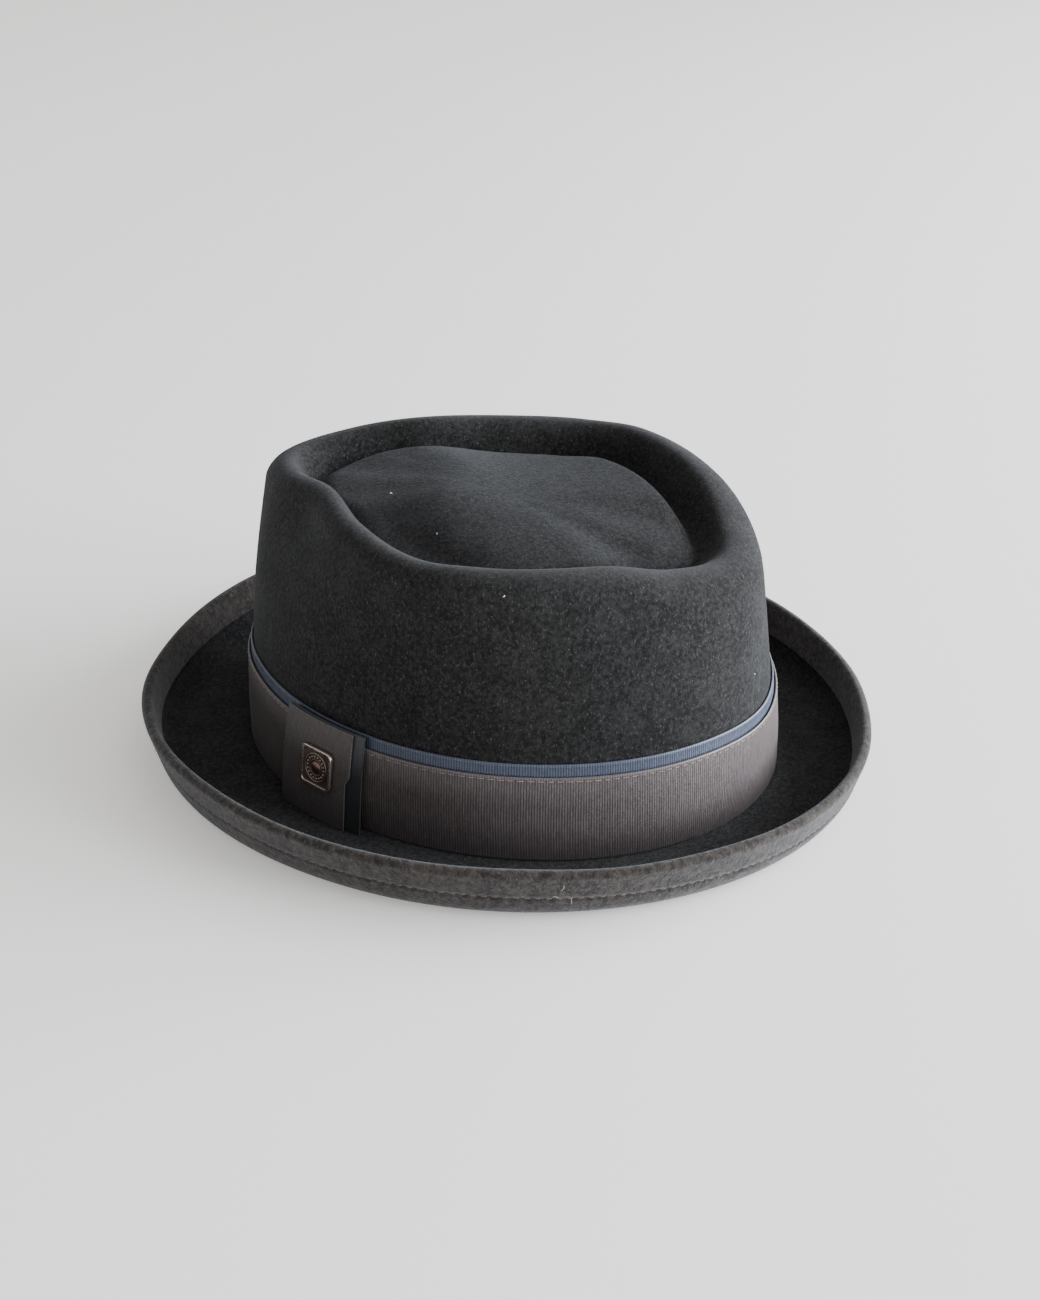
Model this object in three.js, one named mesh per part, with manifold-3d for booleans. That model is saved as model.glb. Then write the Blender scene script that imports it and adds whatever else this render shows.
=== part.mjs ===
// A felt porkpie hat: one felt body, two ribbons round the crown, a two-layer ribbon tab and a cast badge.
// Millimetres. +Z is up, the front of the hat points along -Y and the wearer's left along +X.
// The origin lies on the table, midway between the front and the back of the lip. A turn is an angle round
// the hat in degrees: 0 at the front tip, 90 at the wearer's left, 180 at the back.
import * as THREE from 'three';
import { mergeVertices } from 'three/addons/utils/BufferGeometryUtils.js';
import Module from 'manifold-3d';

const wasm = await Module();
wasm.setup();

// Head oval, measured on the outside of the crown where it meets the brim
const HEAD_LENGTH = 203.6;
const HEAD_WIDTH = 166.6;
const FELT = 2;

// Crown
const CROWN_HEIGHT = 106.8;
const CROWN_DRAW = 30;
const CREST_RADIUS = 8;
const WALL_POWER = 2.53;
const WALL_POWER_SWING = 0.5;
const WALL_POWER_DIP = 1.3;
const MOAT_WIDTH = 15;
const MOAT_DEPTH = 17;
const CENTRE_RUN = 26;
const CENTRE_DROP = 7.8;
const CENTRE_HEIGHT = CROWN_HEIGHT - CENTRE_DROP;

// Brim: flat on the table, then a curl, then a short wall with a turned-over edge
const BRIM_REACH = 39.5;
const LIP_HEIGHT = 24;
const CURL_RADIUS = 10;
const CURL_TURN = 75;
const WELT_DEPTH = 10.5;

// Ribbons, and the clearance between any two layers
const RIBBON = 1;
const CLEARANCE = 0.3;
const TRIM_WIDTH = 36.8;
const BAND_WIDTH = 32.4;

// Tab over the ribbons on the wearer's left, and its badge
const TAB_TURN = 70.6;
const TAB_RISE = 0.6;
const TAB_FLARE = 3;
const BADGE_SHIFT = 2.6;
const BADGE_RISE = 2;
const BADGE_SIDE = 14.8;
const BADGE_CORNER = 2.2;
const BADGE_PLATE = 1.2;
const BADGE_RELIEF = 0.5;
const BADGE_BORDER = 1.1;
const BADGE_RING_RADIUS = 4.9;
const BADGE_RING_WIRE = 0.45;
const BADGE_DOME_RADIUS = 3.2;
const BADGE_DOME_HEIGHT = 0.9;

// Mesh steps
const TURN_STEPS = 60;
const FULL_TURN = 360;
const WALL_STEPS = 7;
const RIBBON_STEPS = 2;
const TAB_STEPS = 8;
const CREST_ANGLES = [25, 48, 70, 90];
const OUTER_FLANK_SHARES = [0.35, 0.6, 0.8, 1];
const INNER_FLANK_SHARES = [0.4, 0.75, 1];
const CENTRE_SHARES = [0.72, 0.42, 0.2];
const CURL_SHARES = [0, 0.25, 0.5, 0.75, 1];
const FOLD_ANGLES = [180, 120, 60, 0];

// The diamond plan of the crown, one row for each change in it. inset is how far the crest lies inside the
// head oval, as a share of CROWN_DRAW, height is a share of CROWN_HEIGHT and round of CREST_RADIUS. Both
// halves are alike.
const CREST_FORM = [
  { place: 'front tip', turn: 0, inset: 0.48, height: 0.959, round: 1.45 },
  { place: 'front pinch', turn: 23, inset: 0.74, height: 0.977, round: 1.3 },
  { place: 'pinch middle', turn: 45, inset: 1, height: 1, round: 1 },
  { place: 'pinch end', turn: 68, inset: 0.8, height: 0.983, round: 0.9 },
  { place: 'side', turn: 90, inset: 0.53, height: 0.967, round: 0.9 },
  { place: 'widest point', turn: 105, inset: 0.5, height: 0.979, round: 0.9 },
  { place: 'back quarter', turn: 135, inset: 0.7, height: 0.958, round: 1.25 },
  { place: 'back corner', turn: 157, inset: 0.68, height: 0.896, round: 1.5 },
  { place: 'back', turn: 180, inset: 0.54, height: 0.87, round: 1.5 },
];

// The moat inside the crest and the edge of the raised centre, all round the hat, because the left side is
// pushed in lower than the right. Runs lead inwards from the crest and drops lead down from it: valleyRun is
// a share of MOAT_WIDTH, edgeRun of CENTRE_RUN and both drops of MOAT_DEPTH.
const MOAT_FORM = [
  { place: 'front tip', turn: 0, valleyRun: 0.65, valleyDrop: 0.65, edgeRun: 0.72, edgeDrop: 0.38 },
  { place: 'left pinch', turn: 23, valleyRun: 0.6, valleyDrop: 0.75, edgeRun: 0.62, edgeDrop: 0.56 },
  { place: 'left pinch middle', turn: 45, valleyRun: 0.62, valleyDrop: 0.84, edgeRun: 0.6, edgeDrop: 0.68 },
  { place: 'left pinch end', turn: 68, valleyRun: 0.8, valleyDrop: 0.92, edgeRun: 0.8, edgeDrop: 0.75 },
  { place: 'left side', turn: 90, valleyRun: 1, valleyDrop: 0.93, edgeRun: 1, edgeDrop: 0.74 },
  { place: 'left back quarter', turn: 115, valleyRun: 1, valleyDrop: 0.95, edgeRun: 0.9, edgeDrop: 0.6 },
  { place: 'left back corner', turn: 140, valleyRun: 0.9, valleyDrop: 0.76, edgeRun: 0.85, edgeDrop: 0.42 },
  { place: 'back left', turn: 160, valleyRun: 0.85, valleyDrop: 0.5, edgeRun: 0.9, edgeDrop: 0.25 },
  { place: 'back', turn: 180, valleyRun: 0.8, valleyDrop: 0.42, edgeRun: 0.86, edgeDrop: 0.12 },
  { place: 'right back corner', turn: 203, valleyRun: 0.8, valleyDrop: 0.5, edgeRun: 0.77, edgeDrop: 0.17 },
  { place: 'right back', turn: 225, valleyRun: 0.87, valleyDrop: 0.78, edgeRun: 0.76, edgeDrop: 0.27 },
  { place: 'right widest', turn: 255, valleyRun: 1, valleyDrop: 0.97, edgeRun: 0.88, edgeDrop: 0.31 },
  { place: 'right side', turn: 270, valleyRun: 1, valleyDrop: 0.93, edgeRun: 0.93, edgeDrop: 0.33 },
  { place: 'right pinch end', turn: 292, valleyRun: 0.8, valleyDrop: 0.91, edgeRun: 0.69, edgeDrop: 0.44 },
  { place: 'right pinch middle', turn: 315, valleyRun: 0.54, valleyDrop: 0.82, edgeRun: 0.46, edgeDrop: 0.4 },
  { place: 'right pinch', turn: 337, valleyRun: 0.57, valleyDrop: 0.73, edgeRun: 0.54, edgeDrop: 0.35 },
  { place: 'front tip', turn: 360, valleyRun: 0.65, valleyDrop: 0.65, edgeRun: 0.72, edgeDrop: 0.38 },
];

// How far the brim reaches out and how high its lip stands, as shares of BRIM_REACH and LIP_HEIGHT.
const BRIM_FORM = [
  { place: 'front', turn: 0, reach: 0.94, lip: 1 },
  { place: 'front quarter', turn: 45, reach: 1.09, lip: 0.985 },
  { place: 'side', turn: 90, reach: 1.02, lip: 0.95 },
  { place: 'back quarter', turn: 135, reach: 0.93, lip: 0.87 },
  { place: 'back', turn: 180, reach: 0.91, lip: 0.82 },
];

const radians = THREE.MathUtils.degToRad;
const turns = Array.from({ length: TURN_STEPS }, (_, i) => (i * FULL_TURN) / TURN_STEPS);

// Shares from 0 to 1 in equal steps, both ends included
function shares(steps) {
  return Array.from({ length: steps + 1 }, (_, i) => i / steps);
}

// A turn within one round of the hat
function wholeTurn(turn) {
  return ((turn % FULL_TURN) + FULL_TURN) % FULL_TURN;
}

// Smooth value of one column of a table at a turn, level at the table's ends. A table that ends at half a
// turn holds for both halves of the hat.
function tableValue(table, column, turn) {
  const whole = wholeTurn(turn);
  const halves = table[table.length - 1].turn < FULL_TURN;
  const at = halves ? Math.min(whole, FULL_TURN - whole) : whole;
  const next = Math.max(1, table.findIndex((row) => row.turn >= at));
  const slope = (i) => {
    if (i === 0 || i === table.length - 1) return 0;
    return (table[i + 1][column] - table[i - 1][column]) / (table[i + 1].turn - table[i - 1].turn);
  };
  const [a, b] = [table[next - 1], table[next]];
  const span = b.turn - a.turn;
  const s = (at - a.turn) / span;
  const rise = b[column] - a[column];
  const start = slope(next - 1) * span;
  const end = slope(next) * span;
  return a[column] + s * (start + s * (3 * rise - 2 * start - end + s * (start + end - 2 * rise)));
}

// Outward direction of the head oval at a turn
function ovalNormal(turn) {
  const t = radians(turn);
  return new THREE.Vector2(Math.sin(t) / (HEAD_WIDTH / 2), -Math.cos(t) / (HEAD_LENGTH / 2)).normalize();
}

// Point a distance outside the head oval (negative: inside) at a height
function ovalPoint(turn, outside, z) {
  const t = radians(turn);
  const n = ovalNormal(turn);
  const x = (HEAD_WIDTH / 2) * Math.sin(t) + n.x * outside;
  const y = (-HEAD_LENGTH / 2) * Math.cos(t) + n.y * outside;
  return new THREE.Vector3(x, y, z);
}

// All sizes of the crown at one turn
function crownForm(turn) {
  const crestHeight = tableValue(CREST_FORM, 'height', turn) * CROWN_HEIGHT;
  const moat = (column) => tableValue(MOAT_FORM, column, turn);
  const t = radians(turn);
  return {
    crestInset: tableValue(CREST_FORM, 'inset', turn) * CROWN_DRAW,
    crestHeight,
    radius: tableValue(CREST_FORM, 'round', turn) * CREST_RADIUS,
    power: WALL_POWER + WALL_POWER_SWING * Math.cos(t) - WALL_POWER_DIP * Math.sin(t) ** 2,
    valleyRun: moat('valleyRun') * MOAT_WIDTH,
    valleyHeight: crestHeight - moat('valleyDrop') * MOAT_DEPTH,
    edgeRun: moat('edgeRun') * CENTRE_RUN,
    edgeHeight: crestHeight - moat('edgeDrop') * MOAT_DEPTH,
  };
}

// Inset of the crown wall at a height: upright at the brim and leaning in towards the crest. Front and back
// stay upright for longer than the sides do.
function wallInset(turn, z) {
  const form = crownForm(turn);
  const top = form.crestHeight - form.radius;
  const share = THREE.MathUtils.clamp((z - FELT) / (top - FELT), 0, 1);
  return (form.crestInset - form.radius) * share ** form.power;
}

// The crown wall from the brim up to the start of the crest
function wallRows() {
  return shares(WALL_STEPS).map((s) => (turn) => {
    const form = crownForm(turn);
    const z = FELT + s * (form.crestHeight - form.radius - FELT);
    return ovalPoint(turn, -wallInset(turn, z), z);
  });
}

// The rounded crest, from the wall over to the moat
function crestRows() {
  return CREST_ANGLES.map((angle) => (turn) => {
    const form = crownForm(turn);
    const run = form.radius * (1 - Math.cos(radians(angle)));
    const rise = form.radius * (Math.sin(radians(angle)) - 1);
    return ovalPoint(turn, form.radius - form.crestInset - run, form.crestHeight + rise);
  });
}

// Fall of the moat's outer flank as a share of its depth: round at the crest and steep before the valley.
// The three factors add up to 1, so that the flank ends in the valley.
const FLANK_FACTORS = { square: 0.6, cube: 2.8, fourth: -2.4 };

function flankFall(s) {
  return FLANK_FACTORS.square * s ** 2 + FLANK_FACTORS.cube * s ** 3 + FLANK_FACTORS.fourth * s ** 4;
}

// The moat: down the outer flank to the valley, then up to the edge of the raised centre
function moatRows() {
  const down = OUTER_FLANK_SHARES.map((s) => (turn) => {
    const form = crownForm(turn);
    const z = form.crestHeight - flankFall(s) * (form.crestHeight - form.valleyHeight);
    return ovalPoint(turn, -form.crestInset - s * form.valleyRun, z);
  });
  const up = INNER_FLANK_SHARES.map((s) => (turn) => {
    const form = crownForm(turn);
    const run = form.valleyRun + s * (form.edgeRun - form.valleyRun);
    const z = form.valleyHeight + s * (2 - s) * (form.edgeHeight - form.valleyHeight);
    return ovalPoint(turn, -form.crestInset - run, z);
  });
  return [...down, ...up];
}

// The raised centre inside the moat, drawn in towards the middle of the crown
function centreRows() {
  return CENTRE_SHARES.map((share) => (turn) => {
    const form = crownForm(turn);
    const edge = ovalPoint(turn, -form.crestInset - form.edgeRun, form.edgeHeight);
    const z = CENTRE_HEIGHT + (form.edgeHeight - CENTRE_HEIGHT) * share * share;
    return new THREE.Vector3(edge.x * share, edge.y * share, z);
  });
}

// Brim width and lip height at a turn
function brimReach(turn) {
  return tableValue(BRIM_FORM, 'reach', turn) * BRIM_REACH;
}

function lipHeight(turn) {
  return tableValue(BRIM_FORM, 'lip', turn) * LIP_HEIGHT;
}

// The brim's underside as a path: flat, then the curl, then straight up to the fold of the edge.
// Returns the turn's own lengths and a point of the path moved inwards by a number of felt layers.
function brimPath(turn) {
  const turned = radians(CURL_TURN);
  const curlRise = CURL_RADIUS * (1 - Math.cos(turned));
  const wallLength = (lipHeight(turn) - FELT - curlRise) / Math.sin(turned);
  const flatEnd = brimReach(turn) - CURL_RADIUS * Math.sin(turned) - wallLength * Math.cos(turned);
  const layer = (outside, z, angle, layers) => {
    const lift = layers * FELT;
    return ovalPoint(turn, outside - lift * Math.sin(angle), z + lift * Math.cos(angle));
  };
  return {
    wallLength,
    flat: (share, layers) => layer(share * flatEnd, 0, 0, layers),
    curl: (share, layers) => {
      const angle = share * turned;
      const outside = flatEnd + CURL_RADIUS * Math.sin(angle);
      return layer(outside, CURL_RADIUS * (1 - Math.cos(angle)), angle, layers);
    },
    wall: (length, layers) => {
      const outside = flatEnd + CURL_RADIUS * Math.sin(turned) + length * Math.cos(turned);
      return layer(outside, curlRise + length * Math.sin(turned), turned, layers);
    },
  };
}

// The turned-over edge: the inner layer ends in a raw edge, and the fold joins it to the outer layer
function weltRows() {
  const rawEdge = (layers) => (turn) => {
    const path = brimPath(turn);
    return path.wall(path.wallLength - WELT_DEPTH, layers);
  };
  const fold = FOLD_ANGLES.map((angle) => (turn) => {
    const path = brimPath(turn);
    const beyond = FELT * Math.sin(radians(angle));
    return path.wall(path.wallLength + beyond, 1 - Math.cos(radians(angle)));
  });
  return [rawEdge(1), rawEdge(2), ...fold];
}

// The brim from the crown out over its upper side, round the edge and back along its underside
function brimRows() {
  const upper = CURL_SHARES.map((s) => (turn) => brimPath(turn).curl(s, 1));
  const lower = CURL_SHARES.toReversed().map((s) => (turn) => brimPath(turn).curl(s, 0));
  return [...upper, ...weltRows(), ...lower];
}

// Points of a row all round the hat
function ring(row) {
  return turns.map((turn) => row(turn));
}

// Unit normals of a stack of rings, by the differences to the neighbouring points
function ringNormals(rings) {
  return rings.map((points, i) => points.map((_, j) => {
    const count = points.length;
    const outer = rings[Math.min(i + 1, rings.length - 1)][j];
    const inner = rings[Math.max(i - 1, 0)][j];
    const around = new THREE.Vector3().subVectors(points[(j + 1) % count], points[(j + count - 1) % count]);
    const along = new THREE.Vector3().subVectors(outer, inner);
    return along.cross(around).normalize();
  }));
}

// Triangles between two rings, with their faces away from the side that the rings run along
function joinRings(indices, a, b, count) {
  for (let j = 0; j < count; j += 1) {
    const k = (j + 1) % count;
    indices.push(a + j, b + j, b + k, a + j, b + k, a + k);
  }
}

// A closed body from a stack of rings. It closes in a point at both ends, or joins its last ring to its
// first.
function ringBody(rings, poles) {
  const count = rings[0].length;
  const points = rings.flat();
  const indices = [];
  for (let i = 0; i + 1 < rings.length; i += 1) joinRings(indices, i * count, (i + 1) * count, count);
  if (poles) {
    const [first, last] = [points.length, points.length + 1];
    points.push(...poles);
    const end = (rings.length - 1) * count;
    for (let j = 0; j < count; j += 1) {
      const k = (j + 1) % count;
      indices.push(first, j, k, last, end + k, end + j);
    }
  } else {
    joinRings(indices, (rings.length - 1) * count, 0, count);
  }
  const geometry = new THREE.BufferGeometry();
  geometry.setAttribute('position', new THREE.Float32BufferAttribute(points.flatMap((p) => p.toArray()), 3));
  geometry.setIndex(indices);
  geometry.computeVertexNormals();
  return geometry;
}

// The felt body: crown and brim in one shell of even felt, open underneath
function feltBody() {
  const top = [...centreRows().toReversed(), ...moatRows().toReversed(), ...crestRows().toReversed()];
  const side = wallRows().toReversed();
  const outside = [...top, ...side].map(ring);
  const normals = ringNormals(outside);
  const inside = outside.map((points, i) => points.map((point, j) => {
    return point.clone().addScaledVector(normals[i][j], -FELT);
  }));
  inside[inside.length - 1] = ring((turn) => ovalPoint(turn, -FELT, 0));
  const topPole = new THREE.Vector3(0, 0, CENTRE_HEIGHT);
  const bottomPole = new THREE.Vector3(0, 0, CENTRE_HEIGHT - FELT);
  return ringBody([...outside, ...brimRows().map(ring), ...inside.toReversed()], [topPole, bottomPole]);
}

// Distance of a ribbon layer's inner face outside the crown wall, counted from the felt
function layerOutside(layer) {
  return CLEARANCE + layer * (RIBBON + CLEARANCE);
}

// A point on a ribbon layer: share 0 is its inner face and share 1 its outer face
function ribbonPoint(turn, z, layer, share) {
  return ovalPoint(turn, layerOutside(layer) + share * RIBBON - wallInset(turn, z), z);
}

const RIBBON_FOOT = FELT + CLEARANCE;

// A ribbon all round the crown, standing on the brim
function ribbonBody(layer, width) {
  const face = (share) => shares(RIBBON_STEPS).map((s) => (turn) => {
    return ribbonPoint(turn, RIBBON_FOOT + s * width, layer, share);
  });
  return ringBody([...face(1).toReversed(), ...face(0)].map(ring));
}

// Turn at a distance along the ribbons from the tab's middle line, positive towards the back
function tabTurn(distance) {
  const t = radians(TAB_TURN);
  const stride = Math.hypot((HEAD_WIDTH / 2) * Math.cos(t), (HEAD_LENGTH / 2) * Math.sin(t));
  return TAB_TURN + THREE.MathUtils.radToDeg(distance / stride);
}

// The tab is a piece of both ribbons set upright over them, and its foot stands off by TAB_FLARE
const TAB_HEIGHT = TRIM_WIDTH + TAB_RISE;
const TAB_HALF = BAND_WIDTH / 2;

// A point on a tab layer: up is the share of the tab's height, and share is as for a ribbon
function tabPoint(turn, up, layer, share) {
  const z = RIBBON_FOOT + up * TAB_HEIGHT;
  const outside = layerOutside(layer) + share * RIBBON + TAB_FLARE * (1 - up);
  return ovalPoint(turn, outside - wallInset(turn, z), z);
}

// A tab layer runs between two distances from the tab's middle line
function tabBody(layer, from, to) {
  const across = shares(TAB_STEPS).map((s) => tabTurn(from + s * (to - from)));
  const upright = (share) => shares(RIBBON_STEPS).map((up) => (turn) => tabPoint(turn, up, layer, share));
  const loops = across.map((turn) => [...upright(1), ...upright(0).toReversed()].map((row) => row(turn)));
  return cappedBody(loops);
}

// A closed body from a stack of equal loops, with a fan over each end
function cappedBody(loops) {
  const count = loops[0].length;
  const middle = (loop) => loop.reduce((sum, p) => sum.add(p), new THREE.Vector3()).divideScalar(count);
  return ringBody(loops, [middle(loops[0]), middle(loops[loops.length - 1])]);
}

// A rounded square, centred, for the badge
function roundedSquare(side, corner) {
  const h = side / 2;
  const shape = new THREE.Shape();
  shape.moveTo(corner - h, -h);
  shape.lineTo(h - corner, -h);
  shape.absarc(h - corner, corner - h, corner, -Math.PI / 2, 0);
  shape.absarc(h - corner, h - corner, corner, 0, Math.PI / 2);
  shape.absarc(corner - h, h - corner, corner, Math.PI / 2, Math.PI);
  shape.absarc(corner - h, corner - h, corner, Math.PI, 1.5 * Math.PI);
  return shape;
}

// A closed geometry as a solid for joining, and a solid back as a geometry
function toSolid(geometry) {
  const bare = geometry.clone();
  bare.deleteAttribute('normal');
  bare.deleteAttribute('uv');
  const merged = mergeVertices(bare, 1e-4);
  const mesh = new wasm.Mesh({
    numProp: 3,
    vertProperties: new Float32Array(merged.attributes.position.array),
    triVerts: new Uint32Array(merged.index.array),
  });
  return new wasm.Manifold(mesh);
}

function toGeometry(solid) {
  const mesh = solid.getMesh();
  const geometry = new THREE.BufferGeometry();
  geometry.setAttribute('position', new THREE.Float32BufferAttribute(mesh.vertProperties, 3));
  geometry.setIndex(Array.from(mesh.triVerts));
  geometry.computeVertexNormals();
  return geometry;
}

// The cast badge in its own frame: back at z = 0 and face along +Z, with a border, a ring and a dome on it
function badgeBody() {
  const steps = { curveSegments: 4, bevelEnabled: false };
  const back = roundedSquare(BADGE_SIDE, BADGE_CORNER);
  const plate = new THREE.ExtrudeGeometry(back, { ...steps, depth: BADGE_PLATE });
  const frame = roundedSquare(BADGE_SIDE, BADGE_CORNER);
  frame.holes.push(roundedSquare(BADGE_SIDE - 2 * BADGE_BORDER, BADGE_CORNER - BADGE_BORDER / 2));
  const border = new THREE.ExtrudeGeometry(frame, { ...steps, depth: BADGE_RELIEF + BADGE_PLATE });
  const bead = new THREE.TorusGeometry(BADGE_RING_RADIUS, BADGE_RING_WIRE, 6, 24);
  bead.translate(0, 0, BADGE_PLATE);
  const dome = new THREE.SphereGeometry(BADGE_DOME_RADIUS, 16, 8);
  dome.scale(1, 1, BADGE_DOME_HEIGHT / BADGE_DOME_RADIUS);
  dome.translate(0, 0, BADGE_PLATE);
  const joined = [border, bead, dome].reduce((solid, raised) => solid.add(toSolid(raised)), toSolid(plate));
  return toGeometry(joined);
}

// The felt, grosgrain and metal that show in the photograph
const materials = {
  felt: new THREE.MeshStandardMaterial({ color: 0x2a2a2e, roughness: 0.95, metalness: 0 }),
  slateRibbon: new THREE.MeshStandardMaterial({ color: 0x4a5468, roughness: 0.8, metalness: 0 }),
  taupeRibbon: new THREE.MeshStandardMaterial({ color: 0x4e484a, roughness: 0.8, metalness: 0 }),
  badgeMetal: new THREE.MeshStandardMaterial({ color: 0x5c4a40, roughness: 0.4, metalness: 1 }),
};

function namedMesh(name, geometry, material) {
  const mesh = new THREE.Mesh(geometry, material.clone());
  mesh.name = name;
  return mesh;
}

// Ribbon layers from the felt outwards
const LAYER = { trim: 0, band: 1, tabTrim: 2, tab: 3 };

// The badge lies on the tab's outer face, BADGE_RISE above its middle, and leans with it
function placedBadge() {
  const badge = namedMesh('badge', badgeBody(), materials.badgeMetal);
  const turn = tabTurn(BADGE_SHIFT);
  const middle = TAB_HEIGHT / 2 + BADGE_RISE;
  const rows = [middle - BADGE_SIDE / 2, middle, middle + BADGE_SIDE / 2];
  const [low, seat, high] = rows.map((height) => tabPoint(turn, height / TAB_HEIGHT, LAYER.tab, 1));
  const n = ovalNormal(turn);
  const across = new THREE.Vector3(-n.y, n.x, 0);
  const up = high.sub(low).normalize();
  const outward = new THREE.Vector3().crossVectors(across, up);
  badge.quaternion.setFromRotationMatrix(new THREE.Matrix4().makeBasis(across, up, outward));
  badge.position.copy(seat).addScaledVector(outward, CLEARANCE);
  return badge;
}

// The brim reaches further at the front, so the head oval stands a little behind the origin
const hat = new THREE.Group();
hat.position.y = (brimReach(0) - brimReach(180)) / 2;
hat.add(
  namedMesh('felt_body', feltBody(), materials.felt),
  namedMesh('trim_ribbon', ribbonBody(LAYER.trim, TRIM_WIDTH), materials.slateRibbon),
  namedMesh('band_ribbon', ribbonBody(LAYER.band, BAND_WIDTH), materials.taupeRibbon),
  namedMesh('tab_trim', tabBody(LAYER.tabTrim, -TAB_HALF, TRIM_WIDTH - TAB_HALF), materials.slateRibbon),
  namedMesh('ribbon_tab', tabBody(LAYER.tab, -TAB_HALF, TAB_HALF), materials.taupeRibbon),
  placedBadge(),
);

export default hat;
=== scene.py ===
"""A felt porkpie hat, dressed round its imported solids.

Metres, +Z up. The front of the hat points along -Y and the wearer's left along +X. A turn is an angle round
the hat in degrees: 0 at the front tip, 90 at the wearer's left, 180 at the back.
"""

from __future__ import annotations

import logging
import math
from dataclasses import dataclass
from enum import Enum

import bpy
import numpy as np
from mathutils import Matrix, Vector
from mathutils.bvhtree import BVHTree

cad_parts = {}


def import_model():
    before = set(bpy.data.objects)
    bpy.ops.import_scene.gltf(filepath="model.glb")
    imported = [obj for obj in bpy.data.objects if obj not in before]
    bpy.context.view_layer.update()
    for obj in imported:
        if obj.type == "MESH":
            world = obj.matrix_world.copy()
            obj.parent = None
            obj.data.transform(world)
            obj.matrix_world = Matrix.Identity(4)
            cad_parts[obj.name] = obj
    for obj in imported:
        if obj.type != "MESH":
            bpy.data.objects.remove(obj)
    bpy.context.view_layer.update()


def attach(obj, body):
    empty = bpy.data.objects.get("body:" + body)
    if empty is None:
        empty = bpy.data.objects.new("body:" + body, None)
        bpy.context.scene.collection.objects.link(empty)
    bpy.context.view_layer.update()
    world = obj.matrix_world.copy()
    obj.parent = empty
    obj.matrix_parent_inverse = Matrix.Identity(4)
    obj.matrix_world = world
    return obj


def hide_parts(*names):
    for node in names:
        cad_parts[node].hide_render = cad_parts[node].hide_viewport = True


LOG = logging.getLogger("porkpie_hat")
BODY = "root"
MM = 0.001
FULL_TURN = 360.0


class Slot(Enum):
    """Names of material slots."""

    FELT = "felt"
    SLATE = "slate_ribbon"
    TAUPE = "taupe_ribbon"
    METAL = "badge_metal"


def shares(steps: int, first: int = 0) -> np.ndarray:
    """Equal steps from 0 to 1.

    Args:
        steps: How many steps the whole range has.
        first: The first step that is kept, so 1 leaves out the 0.

    Returns:
        The kept shares, in rising order.
    """
    return np.arange(first, steps + 1) / steps


def smooth_step(value: np.ndarray, low: float, high: float) -> np.ndarray:
    """A soft rise from 0 at low to 1 at high."""
    share = np.clip((value - low) / (high - low), 0.0, 1.0)
    return share * share * (3.0 - 2.0 * share)


@dataclass(frozen=True)
class CrestStation:
    """The crown's crest at one turn, as shares of the crown's draw and height and of the crest's radius."""

    turn: float
    inset: float
    height: float
    round: float


@dataclass(frozen=True)
class MoatStation:
    """The moat inside the crest and the edge of the raised centre at one turn.

    Runs lead inwards from the crest, as shares of the moat's width and the centre's run, and drops lead down
    from it, as shares of the moat's depth.
    """

    turn: float
    valley_run: float
    valley_drop: float
    edge_run: float
    edge_drop: float


@dataclass(frozen=True)
class BrimStation:
    """How far the brim reaches and how high its lip stands at one turn, as shares of both sizes."""

    turn: float
    reach: float
    lip: float


CREST_STATIONS = (
    CrestStation(turn=0, inset=0.48, height=0.959, round=1.45),
    CrestStation(turn=23, inset=0.74, height=0.977, round=1.3),
    CrestStation(turn=45, inset=1.0, height=1.0, round=1.0),
    CrestStation(turn=68, inset=0.8, height=0.983, round=0.9),
    CrestStation(turn=90, inset=0.53, height=0.967, round=0.9),
    CrestStation(turn=105, inset=0.5, height=0.979, round=0.9),
    CrestStation(turn=135, inset=0.7, height=0.958, round=1.25),
    CrestStation(turn=157, inset=0.68, height=0.896, round=1.5),
    CrestStation(turn=180, inset=0.54, height=0.87, round=1.5),
)

MOAT_STATIONS = (
    MoatStation(turn=0, valley_run=0.65, valley_drop=0.65, edge_run=0.72, edge_drop=0.38),
    MoatStation(turn=23, valley_run=0.6, valley_drop=0.75, edge_run=0.62, edge_drop=0.56),
    MoatStation(turn=45, valley_run=0.62, valley_drop=0.84, edge_run=0.6, edge_drop=0.68),
    MoatStation(turn=68, valley_run=0.8, valley_drop=0.92, edge_run=0.8, edge_drop=0.75),
    MoatStation(turn=90, valley_run=1.0, valley_drop=0.93, edge_run=1.0, edge_drop=0.74),
    MoatStation(turn=115, valley_run=1.0, valley_drop=0.95, edge_run=0.9, edge_drop=0.6),
    MoatStation(turn=140, valley_run=0.9, valley_drop=0.76, edge_run=0.85, edge_drop=0.42),
    MoatStation(turn=160, valley_run=0.85, valley_drop=0.5, edge_run=0.9, edge_drop=0.25),
    MoatStation(turn=180, valley_run=0.8, valley_drop=0.42, edge_run=0.86, edge_drop=0.12),
    MoatStation(turn=203, valley_run=0.8, valley_drop=0.5, edge_run=0.77, edge_drop=0.17),
    MoatStation(turn=225, valley_run=0.87, valley_drop=0.78, edge_run=0.76, edge_drop=0.27),
    MoatStation(turn=255, valley_run=1.0, valley_drop=0.97, edge_run=0.88, edge_drop=0.31),
    MoatStation(turn=270, valley_run=1.0, valley_drop=0.93, edge_run=0.93, edge_drop=0.33),
    MoatStation(turn=292, valley_run=0.8, valley_drop=0.91, edge_run=0.69, edge_drop=0.44),
    MoatStation(turn=315, valley_run=0.54, valley_drop=0.82, edge_run=0.46, edge_drop=0.4),
    MoatStation(turn=337, valley_run=0.57, valley_drop=0.73, edge_run=0.54, edge_drop=0.35),
    MoatStation(turn=360, valley_run=0.65, valley_drop=0.65, edge_run=0.72, edge_drop=0.38),
)

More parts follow.
